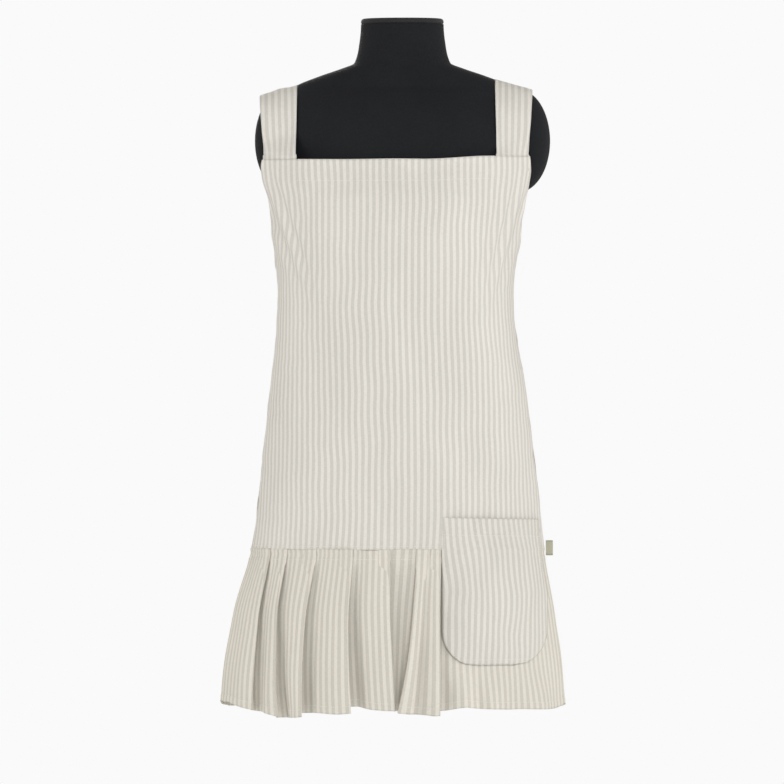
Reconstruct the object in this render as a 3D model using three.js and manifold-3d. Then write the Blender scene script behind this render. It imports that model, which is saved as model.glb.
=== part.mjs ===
// A striped pinafore apron dressed on a cloth-covered display torso.
// Millimetres, +Z up, -Y the front, +X the wearer's left. The origin is the middle of the
// open mouth of the socket that takes a stand's pole.

import * as THREE from "three";
import { mergeVertices } from "three/addons/utils/BufferGeometryUtils.js";
import Module from "manifold-3d";

const wasm = await Module();
wasm.setup();

// ---------------------------------------------------------------- driving dimensions
const SEAT_GAP = 0.3; // between pieces that touch
const CLOTH = 1.5; // the apron's cloth with its turned hems
const JERSEY = 0.8; // the knitted cover of the torso
const EASE = 7; // the apron's cloth off the torso where it lies close

const SHELL_WALL = 3;
const TORSO_ROUNDNESS = 2.3; // 2 is an ellipse, more is squarer
const BASE_Z = 64;
const HIP_Z = 120;
const WAIST_Z = 330;
const BUST_Z = 472;
const CHEST_Z = 575;
const SHOULDER_Z = 673;
const NECK_BASE_Z = 706;
const NECK_TOP_Z = 762;
const HIP_HALF = 160;
const WAIST_HALF = 125;
const BUST_HALF = 150;
const SHOULDER_HALF = 150;
const NECK_HALF = 57;
const BUST_DEPTH = 120;

const ARM_FACE_X = 158; // where the shells are cut flat for the arm plates
const ARM_Z = 598;
const ARM_HALF_HEIGHT = 72;
const ARM_HALF_DEPTH = 46;
const ARM_BULGE = 44;
const ARM_PLATE = 4;

const CAP_HEIGHT = 7.4;
const DOWEL_RADIUS = 10;
const DOWEL_LENGTH = 18;
const NECK_BLOCK = 24;
const BOARD = 12;
const DOWEL_PLAY = 0.3;

const SOCKET_BORE = 13; // radius
const SOCKET_WALL = 4;
const SOCKET_DEPTH = 59.4;
const PLATE_RADIUS = 42;
const SCREW_CIRCLE = 31;
const SCREW_RADIUS = 2.2;
const SCREW_HEAD_RADIUS = 4.4;
const SCREW_HEAD = 2.4;
const SCREW_GRIP = 9; // how far a screw reaches into the board
const SCREW_COUNT = 4;
const CLAMP_Z = 30;
const CLAMP_RADIUS = 4;
const CLAMP_BOSS_RADIUS = 9;
const CLAMP_BOSS = 8;
const CLAMP_STEM = 14; // between the boss and the knob's far face
const KNOB_RADIUS = 14;
const KNOB_LOBE = 2;
const KNOB_LOBES = 6;
const KNOB = 9;

const BIB_TOP_Z = 575;
const ARMHOLE_Z = 430;
const SEAM_Z = 25; // where the frill is sewn on
const HEM_Z = -203;
const HEM_DEPTH = 20;
const STRAP_INSET = 139; // from the apron's middle to a strap's inner edge
const STRAP_WIDTH = 51;
const STRAP_END_HALF = 96; // from the middle to where a strap ends on the back
const LAP = 0.16; // how far a back panel passes the middle, as a share of the half width
const LAP_EASE = 0.7; // the share over which the under layer drops to its place
const BACK_RISE = 16; // the back's top edge climbs by this towards the middle

const PLEAT_DEPTH = 11;
const PLEATS_FRONT = 9;
const PLEATS_BACK = 6;

const POCKET_X = 53;
const POCKET_WIDTH = 148;
const POCKET_TOP_Z = 66;
const POCKET_HEIGHT = 203;
const POCKET_CORNER = 38;
const POCKET_SEAT = 0.8; // the pocket's sewn edges off the panel's facets
const SIDE_SHARE = 0.97; // how near the side seam the pocket may reach
const POCKET_ROOM = 12; // how far the pocket stands off for what it holds

const TAG_LENGTH = 10;
const TAG_HEIGHT = 21;
const TAG_THICK = 1.6;
const TAG_Z = 15;
const TAG_SWING_GAP = 0.85; // lets the tag's root turn by its swing without touching the seam

// ---------------------------------------------------------------- sections
const ARM_EDGE_X = ARM_FACE_X + SEAT_GAP + JERSEY + SEAT_GAP;
const PAD_X = ARM_EDGE_X + ARM_PLATE + SEAT_GAP;
const BIB_HALF = STRAP_INSET + STRAP_WIDTH;
// A wider bib has longer and more bent facets, so what is tucked behind it keeps more room.
const FACET_ROOM = (BIB_HALF / 190) ** 10;

/** The torso's half width and its depths in front of and behind the middle, by height. */
const torsoSections = [
  { z: BASE_Z, half: HIP_HALF - 2, front: 100, back: 112 },
  { z: HIP_Z, half: HIP_HALF, front: 104, back: 120 },
  { z: WAIST_Z, half: WAIST_HALF, front: 85, back: 78 },
  { z: BUST_Z, half: BUST_HALF, front: BUST_DEPTH, back: 95 },
  { z: CHEST_Z, half: ARM_FACE_X + 12, front: 98, back: 100 },
  { z: ARM_Z, half: ARM_FACE_X + 14, front: 92, back: 97 },
  { z: SHOULDER_Z - 33, half: ARM_FACE_X + 11, front: 74, back: 86 },
  { z: SHOULDER_Z - 11, half: ARM_FACE_X + 4, front: 57, back: 70 },
  { z: SHOULDER_Z, half: SHOULDER_HALF, front: 48, back: 60 },
  { z: SHOULDER_Z + 14, half: 115, front: 46, back: 54 },
  { z: NECK_BASE_Z - 9, half: 86, front: 48, back: 52 },
  { z: NECK_BASE_Z, half: NECK_HALF + 9, front: 51, back: 52 },
  { z: NECK_BASE_Z + 24, half: NECK_HALF + 3, front: 52, back: 52 },
  { z: NECK_TOP_Z, half: NECK_HALF, front: 50, back: 50 },
];

/**
 * The apron's inside by height: half width, depths, sideways place of its middle, and the
 * fold, which is 0.5 where the sides are round and nears 1 where they hang as a crease.
 */
const apronSections = [
  { z: HEM_Z, half: 240, front: 134, back: 150, middle: -14, fold: 0.8 },
  { z: SEAM_Z - 99, half: 226, front: 126, back: 146, middle: -13, fold: 0.78 },
  { z: SEAM_Z, half: 205, front: 118, back: 140, middle: -8, fold: 0.75 },
  { z: HIP_Z - 26, half: 197, front: 116, back: 138, middle: -6, fold: 0.68 },
  { z: HIP_Z + 121, half: 180, front: 113, back: 112, middle: -7, fold: 0.6 },
  { z: WAIST_Z + 44, half: 164.5, front: 118, back: 98, middle: -10, fold: 0.54 },
  { z: BUST_Z, half: 175, front: BUST_DEPTH + EASE, back: 106, middle: -9, fold: 0.5 },
  { z: BUST_Z + 42, half: 188, front: BUST_DEPTH + EASE - 6, back: 108, middle: -8, fold: 0.5 },
  { z: BIB_TOP_Z, half: BIB_HALF + 18, front: 98 + EASE, back: 110, middle: -9, fold: 0.5 },
];
const APRON_ROUNDNESS = 2.4;

/** Value of one column of a section table at height z, smooth and without overshoot. */
function sectionValue(sections, key, z) {
  const last = sections.length - 1;
  const height = THREE.MathUtils.clamp(z, sections[0].z, sections[last].z);
  let i = 0;
  while (i < last - 1 && height > sections[i + 1].z) i += 1;
  const secant = (k) =>
    (sections[k + 1][key] - sections[k][key]) / (sections[k + 1].z - sections[k].z);
  const slope = (k) => {
    if (k === 0 || k === last) return 0;
    const before = secant(k - 1);
    const after = secant(k);
    return before * after <= 0 ? 0 : (2 * before * after) / (before + after);
  };
  const span = sections[i + 1].z - sections[i].z;
  const t = (height - sections[i].z) / span;
  const t2 = t * t;
  const t3 = t2 * t;
  return (
    (2 * t3 - 3 * t2 + 1) * sections[i][key] +
    (t3 - 2 * t2 + t) * span * slope(i) +
    (3 * t2 - 2 * t3) * sections[i + 1][key] +
    (t3 - t2) * span * slope(i + 1)
  );
}

const signedPower = (value, power) => Math.sign(value) * Math.abs(value) ** power;
const smooth = (value) => THREE.MathUtils.smoothstep(value, 0, 1);

/** Point of the shells' outside: angle 0 is the front, a quarter turn is +X. */
function torsoPoint(angle, z) {
  const half = sectionValue(torsoSections, "half", z);
  const depth = sectionValue(torsoSections, Math.cos(angle) > 0 ? "front" : "back", z);
  const x = half * signedPower(Math.sin(angle), 2 / TORSO_ROUNDNESS);
  const y = -depth * signedPower(Math.cos(angle), 2 / TORSO_ROUNDNESS);
  return new THREE.Vector3(THREE.MathUtils.clamp(x, -ARM_FACE_X, ARM_FACE_X), y, z);
}

/** Point of the apron's inside; share runs from -1 to 1 across, side is -1 front, 1 back. */
function apronPoint(share, z, side) {
  const half = sectionValue(apronSections, "half", z);
  const depth = sectionValue(apronSections, side < 0 ? "front" : "back", z);
  const middle = sectionValue(apronSections, "middle", z);
  const fold = sectionValue(apronSections, "fold", z);
  const across = THREE.MathUtils.clamp(share, -1, 1);
  const bow = (1 - Math.abs(across) ** APRON_ROUNDNESS) ** fold;
  return new THREE.Vector3(middle + half * across, side * depth * bow, z);
}

/** True inside the covered torso or an arm pad, grown by `more`. */
function insideForm(x, y, z, more) {
  if (z > NECK_TOP_Z) return false;
  const half = sectionValue(torsoSections, "half", z) + more;
  const depth = sectionValue(torsoSections, y < 0 ? "front" : "back", z) + more;
  const level = (Math.abs(x) / half) ** TORSO_ROUNDNESS + (Math.abs(y) / depth) ** TORSO_ROUNDNESS;
  if (level < 1 && Math.abs(x) < ARM_EDGE_X) return true;
  const out = Math.max(0, Math.abs(x) - PAD_X) / (ARM_BULGE + more);
  const fore = y / (ARM_HALF_DEPTH + more);
  const up = (z - ARM_Z) / (ARM_HALF_HEIGHT + more);
  return Math.abs(x) > ARM_FACE_X - 4 && out ** 2 + fore ** 2 + up ** 2 < 1;
}

/** How far the form reaches from (x, 0, z) along the direction (0, dy, dz), grown by `more`. */
function formReach(x, z, dy, dz, more) {
  const step = 1.5;
  let far = 230;
  while (far > 0 && !insideForm(x, dy * far, z + dz * far, more)) far -= step;
  let low = Math.max(0, far);
  let high = low + step;
  for (let i = 0; i < 12; i += 1) {
    const mid = (low + high) / 2;
    if (insideForm(x, dy * mid, z + dz * mid, more)) low = mid;
    else high = mid;
  }
  return high;
}

// ---------------------------------------------------------------- solids
/** Numbers from first to last in equal steps, both ends included. */
function spread(first, last, steps) {
  return Array.from({ length: steps + 1 }, (_, i) => first + ((last - first) * i) / steps);
}

/** A BufferGeometry from vertices and triangles. */
function meshGeometry(vertices, triangles) {
  const geometry = new THREE.BufferGeometry();
  const flat = vertices.flatMap((v) => [v.x, v.y, v.z]);
  geometry.setAttribute("position", new THREE.Float32BufferAttribute(flat, 3));
  geometry.setIndex(triangles);
  geometry.computeVertexNormals();
  return geometry;
}

/** Outward unit normals of a grid whose rows run up and whose columns run round the body. */
function gridNormals(grid, loop) {
  const rows = grid.length;
  const columns = grid[0].length;
  return grid.map((row, i) =>
    row.map((_, j) => {
      const before = loop ? (j + columns - 1) % columns : Math.max(j - 1, 0);
      const after = loop ? (j + 1) % columns : Math.min(j + 1, columns - 1);
      const along = row[after].clone().sub(row[before]);
      const up = grid[Math.min(i + 1, rows - 1)][j].clone().sub(grid[Math.max(i - 1, 0)][j]);
      return along.cross(up).normalize();
    }),
  );
}

/**
 * The closed solid between two offsets of a grid along its normals. An offset is a number
 * or a function of (row, column); `trim` may move each finished vertex.
 */
function skin(grid, inner, outer, { loop = false, trim = (v) => v } = {}) {
  const rows = grid.length;
  const columns = grid[0].length;
  const normals = gridNormals(grid, loop);
  const offset = (value, i, j) => (typeof value === "function" ? value(i, j) : value);
  const layer = (value) =>
    grid.flatMap((row, i) =>
      row.map((p, j) => trim(p.clone().addScaledVector(normals[i][j], offset(value, i, j)))),
    );
  const vertices = [...layer(outer), ...layer(inner)];
  const inside = rows * columns;
  const at = (i, j, base) => base + i * columns + (j % columns);
  const triangles = [];
  const quad = (a, b, c, d) => triangles.push(a, b, c, a, c, d);
  const spans = loop ? columns : columns - 1;
  for (let j = 0; j < spans; j += 1) {
    for (let i = 0; i < rows - 1; i += 1) {
      quad(at(i, j, 0), at(i, j + 1, 0), at(i + 1, j + 1, 0), at(i + 1, j, 0));
      quad(at(i, j, inside), at(i + 1, j, inside), at(i + 1, j + 1, inside), at(i, j + 1, inside));
    }
    quad(at(0, j, inside), at(0, j + 1, inside), at(0, j + 1, 0), at(0, j, 0));
    const top = rows - 1;
    quad(at(top, j, 0), at(top, j + 1, 0), at(top, j + 1, inside), at(top, j, inside));
  }
  if (!loop) {
    const end = columns - 1;
    for (let i = 0; i < rows - 1; i += 1) {
      quad(at(i, 0, inside), at(i, 0, 0), at(i + 1, 0, 0), at(i + 1, 0, inside));
      quad(at(i, end, 0), at(i, end, inside), at(i + 1, end, inside), at(i + 1, end, 0));
    }
  }
  return meshGeometry(vertices, triangles);
}

/** A three.js geometry as a manifold solid, with only its positions kept. */
function solidFrom(geometry) {
  const bare = geometry.clone();
  bare.deleteAttribute("normal");
  bare.deleteAttribute("uv");
  const merged = mergeVertices(bare, 1e-4);
  return new wasm.Manifold(
    new wasm.Mesh({
      numProp: 3,
      vertProperties: merged.attributes.position.array,
      triVerts: new Uint32Array(merged.index.array),
    }),
  );
}

/** A manifold solid as a three.js geometry. */
function geometryFrom(solid) {
  const mesh = solid.getMesh();
  const vertices = [];
  for (let i = 0; i < mesh.numVert; i += 1) {
    const at = i * mesh.numProp;
    vertices.push(new THREE.Vector3(...mesh.vertProperties.subarray(at, at + 3)));
  }
  return meshGeometry(vertices, Array.from(mesh.triVerts));
}

/** The first geometry joined to the added ones, less the cut ones. */
function shaped(first, added, cut) {
  let solid = solidFrom(first);
  for (const piece of added) solid = solid.add(solidFrom(piece));
  for (const piece of cut) solid = solid.subtract(solidFrom(piece));
  return geometryFrom(solid);
}

/** A cylinder standing on z = bottom along +Z, centred on (x, y). */
function post(radius, bottom, height, sides, x = 0, y = 0) {
  const geometry = new THREE.CylinderGeometry(radius, radius, height, sides);
  geometry.rotateX(Math.PI / 2);
  geometry.translate(x, y, bottom + height / 2);
  return geometry;
}

/** A flat plate of an outline, from z = bottom up. */
function plate(points, bottom, height, bevel = 0) {
  const geometry = new THREE.ExtrudeGeometry(new THREE.Shape(points), {
    depth: height - 2 * bevel,
    bevelEnabled: bevel > 0,
    bevelSize: bevel,
    bevelOffset: -bevel,
    bevelThickness: bevel,
    bevelSegments: 2,
  });
  geometry.translate(0, 0, bottom + bevel);
  return geometry;
}

/** The torso's outline between two heights, drawn in by `inset`, as flat points. */
function torsoOutline(lowZ, highZ, inset, sides) {
  return spread(-Math.PI, Math.PI, sides)
    .slice(0, -1)
    .map((angle) => {
      const [low, high] = [lowZ, highZ].map((z) => torsoPoint(angle, z).setZ(0));
      const near = low.length() < high.length() ? low : high;
      near.multiplyScalar(1 - inset / near.length());
      return new THREE.Vector2(near.x, near.y);
    });
}

// ---------------------------------------------------------------- materials
const finish = (color, roughness, metalness = 0) =>
  new THREE.MeshStandardMaterial({ color, roughness, metalness });

const materials = {
  jersey: finish(0x28282b, 0.95),
  shell: finish(0xcfcabd, 0.7),
  board: finish(0xb28f63, 0.75),
  steel: finish(0xa9abad, 0.35, 0.9),
  screw: finish(0x8d8f92, 0.4, 0.9),
  knob: finish(0x232323, 0.55),
  stripe: finish(0xe0dccf, 0.9),
  tag: finish(0xbebca5, 0.85),
};

const root = new THREE.Group();

/** Adds one named piece to a group. */
function addPiece(group, name, geometry, material) {
  const mesh = new THREE.Mesh(geometry, material);
  mesh.name = name;
  group.add(mesh);
  return mesh;
}

// ---------------------------------------------------------------- the display torso
const TORSO_SIDES = 32;
const torsoRows = [
  ...spread(BASE_Z, WAIST_Z, 5),
  ...spread(WAIST_Z, BUST_Z, 3).slice(1),
  ...spread(BUST_Z, SHOULDER_Z - 11, 5).slice(1),
  ...spread(SHOULDER_Z - 11, NECK_BASE_Z, 4).slice(1),
  ...spread(NECK_BASE_Z, NECK_TOP_Z, 2).slice(1),
];

/** Rows of torso points between two angles. */
function torsoGrid(from, to, steps, loop) {
  const angles = spread(from, to, steps);
  if (loop) angles.pop();
  return torsoRows.map((z) => angles.map((angle) => torsoPoint(angle, z)));
}

/** One half of the moulded shell: side -1 is the front, 1 the back. */
function torsoShell(side) {
  const start = side < 0 ? -Math.PI / 2 : Math.PI / 2;
  const grid = torsoGrid(start, start + Math.PI, TORSO_SIDES / 2, false);
  const trim = (v) => {
    v.y = side * Math.max(side * v.y, SEAT_GAP / 2);
    v.z = THREE.MathUtils.clamp(v.z, BASE_Z, NECK_TOP_Z);
    return v;
  };
  return skin(grid, -SHELL_WALL, 0, { trim });
}

/** The knitted cover, from the shells' bottom edge to the top of the neck. */
function jerseyCover() {
  const grid = torsoGrid(-Math.PI, Math.PI, TORSO_SIDES, true);
  const trim = (v) => {
    v.z = THREE.MathUtils.clamp(v.z, BASE_Z, NECK_TOP_Z);
    return v;
  };
  return skin(grid, SEAT_GAP, SEAT_GAP + JERSEY, { loop: true, trim });
}

/** The oval board on one side of the torso that the arm pad is fixed to. */
function armPlate(side) {
  const shape = new THREE.Shape();
  shape.absellipse(0, 0, ARM_HALF_DEPTH - 2, ARM_HALF_HEIGHT - 2, 0, Math.PI * 2, false, 0);
  const geometry = plate(shape.getPoints(7), 0, ARM_PLATE);
  geometry.rotateX(Math.PI / 2);
  geometry.rotateZ((side * Math.PI) / 2);
  geometry.translate(side * ARM_EDGE_X, 0, ARM_Z);
  return geometry;
}

/** The stuffed pad that rounds off one shoulder. */
function armPad(side) {
  const arc = spread(0, Math.PI / 2, 6);
  const profile = arc.map((a) => new THREE.Vector2(Math.cos(a), Math.sin(a)));
  profile[profile.length - 1].x = 0;
  profile.unshift(new THREE.Vector2(0, 0));
  const geometry = new THREE.LatheGeometry(profile, 24);
  geometry.scale(ARM_HALF_DEPTH, ARM_BULGE, ARM_HALF_HEIGHT);
  geometry.rotateZ((-side * Math.PI) / 2);
  geometry.translate(side * PAD_X, 0, ARM_Z);
  return geometry;
}

/** The wooden block in the top of the neck, with the hole for the cap's dowel. */
function neckBlock() {
  const bottom = NECK_TOP_Z - NECK_BLOCK;
  const outline = torsoOutline(bottom, NECK_TOP_Z, SHELL_WALL + 2 * SEAT_GAP, TORSO_SIDES);
  const hole = post(DOWEL_RADIUS + DOWEL_PLAY, bottom + 4, NECK_BLOCK, 24);
  return shaped(plate(outline, bottom, NECK_BLOCK), [], [hole]);
}

/** The flat cap on the neck with the dowel that drops into the block. */
function neckCap() {
  const outline = torsoOutline(NECK_TOP_Z, NECK_TOP_Z, -SEAT_GAP - JERSEY, TORSO_SIDES);
  const bottom = NECK_TOP_Z + SEAT_GAP;
  const dowel = post(DOWEL_RADIUS, bottom - DOWEL_LENGTH, DOWEL_LENGTH + 2, 24);
  return shaped(plate(outline, bottom, CAP_HEIGHT, 1.2), [dowel], []);
}

/** Where the plate screws stand. */
const screwPlaces = Array.from({ length: SCREW_COUNT }, (_, i) => {
  const turn = ((i + 0.5) * 2 * Math.PI) / SCREW_COUNT;
  return new THREE.Vector2(SCREW_CIRCLE * Math.cos(turn), SCREW_CIRCLE * Math.sin(turn));
});
const PLATE_TOP_Z = BASE_Z - SEAT_GAP;
const PLATE_Z = SOCKET_DEPTH + SEAT_GAP;
const SCREW_SIDES = 12;

/** The board that closes the torso's open bottom. */
function baseBoard() {
  const outline = torsoOutline(BASE_Z, BASE_Z + BOARD, SHELL_WALL + 2 * SEAT_GAP, TORSO_SIDES);
  const depth = SCREW_GRIP + SEAT_GAP;
  const holes = screwPlaces.map((p) =>
    post(SCREW_RADIUS + SEAT_GAP, BASE_Z - 1, depth + 1, SCREW_SIDES, p.x, p.y),
  );
  return shaped(plate(outline, BASE_Z, BOARD), [], holes);
}

/** The round steel plate under the board. */
function socketPlate() {
  const thick = PLATE_TOP_Z - PLATE_Z;
  const holes = screwPlaces.map((p) =>
    post(SCREW_RADIUS + SEAT_GAP, PLATE_Z - 1, thick + 2, SCREW_SIDES, p.x, p.y),
  );
  return shaped(post(PLATE_RADIUS, PLATE_Z, thick, 40), [], holes);
}

/** A cylinder along +Y from y = start. */
function stub(radius, start, length, sides) {
  const geometry = new THREE.CylinderGeometry(radius, radius, length, sides);
  geometry.translate(0, start + length / 2, CLAMP_Z);
  return geometry;
}

const SOCKET_RADIUS = SOCKET_BORE + SOCKET_WALL;
const BOSS_END = SOCKET_RADIUS + CLAMP_BOSS;

/** The tube that takes the stand's pole, with the boss for its clamp screw. */
function standSocket() {
  const boss = stub(CLAMP_BOSS_RADIUS, SOCKET_BORE + 1, BOSS_END - SOCKET_BORE - 1, 20);
  const bore = post(SOCKET_BORE, -1, SOCKET_DEPTH + 2, 32);
  const thread = stub(CLAMP_RADIUS + SEAT_GAP, 1, BOSS_END, 16);
  return shaped(post(SOCKET_RADIUS, 0, SOCKET_DEPTH, 32), [boss], [bore, thread]);
}

/** One screw that holds the plate to the board. */
function plateScrew(place) {
  const headTop = PLATE_Z - SEAT_GAP;
  const tip = BASE_Z + SCREW_GRIP;
  const head = post(SCREW_HEAD_RADIUS, headTop - SCREW_HEAD, SCREW_HEAD, SCREW_SIDES, place.x, place.y);
  const shank = post(SCREW_RADIUS, headTop - 1, tip - headTop + 1, SCREW_SIDES, place.x, place.y);
  return shaped(head, [shank], []);
}

/** The hand screw that grips the pole: a stem with a lobed knob. */
function clampScrew() {
  const outline = spread(0, 2 * Math.PI, KNOB_LOBES * 8)
    .slice(0, -1)
    .map((turn) => {
      const radius = KNOB_RADIUS + KNOB_LOBE * Math.cos(KNOB_LOBES * turn);
      return new THREE.Vector2(radius * Math.cos(turn), radius * Math.sin(turn));
    });
  const knob = plate(outline, 0, KNOB, 1);
  knob.rotateX(-Math.PI / 2);
  knob.translate(0, BOSS_END + CLAMP_STEM - KNOB, CLAMP_Z);
  const start = SOCKET_BORE + SEAT_GAP;
  const stem = stub(CLAMP_RADIUS, start, BOSS_END + CLAMP_STEM - KNOB + 1 - start, 16);
  return shaped(knob, [stem], []);
}

const torso = new THREE.Group();
root.add(torso);
addPiece(torso, "torso_shell_front", torsoShell(-1), materials.shell);
addPiece(torso, "torso_shell_back", torsoShell(1), materials.shell);
addPiece(torso, "jersey_cover", jerseyCover(), materials.jersey);
for (const [name, side] of [["right", -1], ["left", 1]]) {
  addPiece(torso, `arm_plate_${name}`, armPlate(side), materials.board);
  addPiece(torso, `arm_pad_${name}`, armPad(side), materials.jersey);
}
addPiece(torso, "neck_block", neckBlock(), materials.board);
addPiece(torso, "neck_cap", neckCap(), materials.jersey);
addPiece(torso, "base_board", baseBoard(), materials.board);
addPiece(torso, "socket_plate", socketPlate(), materials.steel);
addPiece(torso, "stand_socket", standSocket(), materials.steel);
screwPlaces.forEach((place, i) =>
  addPiece(torso, `plate_screw_${i + 1}`, plateScrew(place), materials.screw),
);
addPiece(torso, "clamp_screw", clampScrew(), materials.knob);

// ---------------------------------------------------------------- the apron
const apron = new THREE.Group();
root.add(apron);

/** Keeps a panel on its own side of the side seams. */
function sideTrim(side) {
  return (v) => {
    v.y = side * Math.max(side * v.y, SEAT_GAP / 2);
    return v;
  };
}

/** The share of the half width at which the apron lies at x. */
function shareAt(x, z) {
  const middle = sectionValue(apronSections, "middle", z);
  return (x - middle) / sectionValue(apronSections, "half", z);
}

/** The apron's inside moved along its outward normal by `off`. */
function apronOffset(share, z, side, off) {
  const nudge = 1e-3;
  const along = apronPoint(share + nudge, z, side).sub(apronPoint(share - nudge, z, side));
  const up = apronPoint(share, z + 1, side).sub(apronPoint(share, z - 1, side));
  const normal = along.cross(up).multiplyScalar(-side).normalize();
  return apronPoint(share, z, side).addScaledVector(normal, off);
}

/** How far across the front panel reaches at height z: all the way below the armhole. */
function armholeShare(z) {
  const top = BIB_HALF / sectionValue(apronSections, "half", BIB_TOP_Z);
  const climb = Math.max(0, (z - ARMHOLE_Z) / (BIB_TOP_Z - ARMHOLE_Z));
  return 1 - (1 - top) * climb ** 1.6;
}

/** The front of the apron, from the bib's top edge to the frill seam. */
function frontPanel() {
  const rows = [
    ...spread(SEAM_Z + SEAT_GAP / 2, ARMHOLE_Z, 7),
    ...spread(ARMHOLE_Z, BIB_TOP_Z, 4).slice(1),
  ];
  const grid = rows.map((z) => {
    const edge = Math.asin(armholeShare(z));
    return spread(-edge, edge, 22).map((turn) => apronPoint(Math.sin(turn), z, -1));
  });
  return skin(grid, 0, CLOTH, { trim: sideTrim(-1) });
}

/** The turned hem behind the bib's top edge, between the straps. */
function bibHem() {
  const rows = spread(BIB_TOP_Z - HEM_DEPTH, BIB_TOP_Z, 1);
  const grid = rows.map((z) => {
    const reach = (STRAP_INSET - 3 * SEAT_GAP) / sectionValue(apronSections, "half", z);
    return spread(-reach, reach, 14).map((share) => apronPoint(share, z, -1));
  });
  const outer = -SEAT_GAP * FACET_ROOM;
  return skin(grid, outer - CLOTH, outer);
}

/** The shares of one back piece, +X end first: side 1 is the wearer's left. */
function backShares(side, steps) {
  const [from, to] = side > 0 ? [1, -LAP] : [LAP, -1];
  return spread(Math.asin(from), Math.asin(to), steps).map((turn) => Math.sin(turn));
}

/** How far a back piece is tucked in at a share, so that the left one laps over the right. */
function lapTuck(share, side) {
  return side > 0 ? 0 : -(CLOTH + 2 * SEAT_GAP) * smooth((LAP_EASE + share) / LAP_EASE);
}

/** One back panel, from the frill seam to its top edge. */
function backPanel(side) {
  const shares = backShares(side, 12);
  const low = SEAM_Z + SEAT_GAP / 2;
  const grid = spread(0, 1, 8).map((level) =>
    shares.map((share) => {
      const top = ARMHOLE_Z + BACK_RISE * (1 - Math.abs(share));
      return apronPoint(share, low + level * (top - low), 1);
    }),
  );
  const inner = (i, j) => lapTuck(shares[j], side);
  return skin(grid, inner, (i, j) => inner(i, j) + CLOTH, { trim: sideTrim(1) });
}

// A strap is followed by its run: an angle about the bib's top height, 0 at the bib, a
// quarter turn on the shoulder, and past half a turn the way down the back over RUN_SCALE.
const RUN_SCALE = 100;
const STRAP_LIFT = 2.6; // the strap's clearance over the cover where it turns
const STRAP_TUCK = -SEAT_GAP - CLOTH - 1.5 * FACET_ROOM; // the strap's inside, behind the bib's
const RUN_TOP = Math.PI / 2;
const RUN_END = Math.PI + (BIB_TOP_Z - ARMHOLE_Z + HEM_DEPTH) / RUN_SCALE;

/** The strap's inside at x and run; on the back it lies `lift` further out until it is tucked in. */
function strapPoint(x, run, lift = 0) {
  const clear = SEAT_GAP + JERSEY + STRAP_LIFT;
  if (run <= Math.PI) {
    const dy = -Math.cos(run);
    const dz = Math.sin(run);
    let reach = formReach(x, BIB_TOP_Z, dy, dz, clear);
    if (run < RUN_TOP) {
      const front = -apronOffset(shareAt(x, BIB_TOP_Z), BIB_TOP_Z, -1, STRAP_TUCK).y;
      const ridge = formReach(x, BIB_TOP_Z, 0, 1, clear);
      reach = Math.max(reach, 1 / (-dy / front + dz / ridge));
    }
    return new THREE.Vector3(x, dy * reach + (run > RUN_TOP ? lift : 0), BIB_TOP_Z + dz * reach);
  }
  const z = BIB_TOP_Z - (run - Math.PI) * RUN_SCALE;
  const rest = Math.max(formReach(x, z, 1, 0, clear), strapPoint(x, Math.PI).y - (BIB_TOP_Z - z));
  const share = shareAt(x, z);
  const panel = share < LAP ? lapTuck(share, -1) : 0;
  const tucked = apronOffset(share, z, 1, panel - 2 * CLOTH - SEAT_GAP).y;
  const under = smooth((ARMHOLE_Z + 2.5 * HEM_DEPTH - z) / (1.6 * HEM_DEPTH));
  return new THREE.Vector3(x, THREE.MathUtils.lerp(rest + lift, tucked, under), z);
}

/** One strap, from behind the bib over the shoulder and across to the other back panel. */
function strap(side) {
  const widths = spread(-STRAP_WIDTH / 2, STRAP_WIDTH / 2, 4);
  const middle = sectionValue(apronSections, "middle", BIB_TOP_Z);
  const start = middle + side * (STRAP_INSET + STRAP_WIDTH / 2);
  const travel = middle - side * STRAP_END_HALF - start;
  const backLength = (RUN_END - RUN_TOP) * RUN_SCALE;
  const softStart = 0.2;
  const tucked = (x, z) => apronOffset(shareAt(x, z), z, -1, STRAP_TUCK);
  const grid = [widths.map((w) => tucked(start + w, BIB_TOP_Z - HEM_DEPTH))];
  grid.push(widths.map((w) => tucked(start + w, BIB_TOP_Z)));
  for (const run of [...spread(0, RUN_TOP, 9).slice(1), ...spread(RUN_TOP, RUN_END, 22).slice(1)]) {
    const down = Math.max(0, (run - RUN_TOP) / (RUN_END - RUN_TOP));
    const moved = down < softStart ? down ** 2 / (2 * softStart) : down - softStart / 2;
    const pace = Math.min(1, down / softStart) / (1 - softStart / 2);
    const lean = Math.atan((travel / backLength) * pace);
    const centre = start + (travel * moved) / (1 - softStart / 2);
    grid.push(
      widths.map((w) => {
        const x = centre + w * Math.cos(lean);
        const over = side > 0 ? smooth((95 - Math.abs(x - middle)) / 45) : 0;
        const lift = over * (CLOTH + 4 * SEAT_GAP);
        return strapPoint(x, run - (w * Math.sin(lean)) / RUN_SCALE, lift);
      }),
    );
  }
  return skin(grid, 0, CLOTH);
}

/** Outward moves of a pleated row: flat crests with troughs between, and how steep each is. */
function pleatWave(pleats) {
  const wave = [0];
  for (let i = 0; i < pleats; i += 1) wave.push(1, 1, 0, 0);
  return wave;
}

/** Where the pleats' folds stand between two turns: wide crests, narrow troughs. */
function pleatTurns(from, to, pleats) {
  const pitch = (to - from) / pleats;
  const folds = [0.12, 0.62, 0.74, 1];
  const turns = [from];
  for (let i = 0; i < pleats; i += 1) {
    for (const fold of folds) turns.push(from + (i + fold) * pitch);
  }
  return turns;
}

const frillRows = spread(HEM_Z, SEAM_Z - SEAT_GAP / 2, 4);
const frillFall = (z) => (SEAM_Z - z) / (SEAM_Z - HEM_Z);

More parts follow.
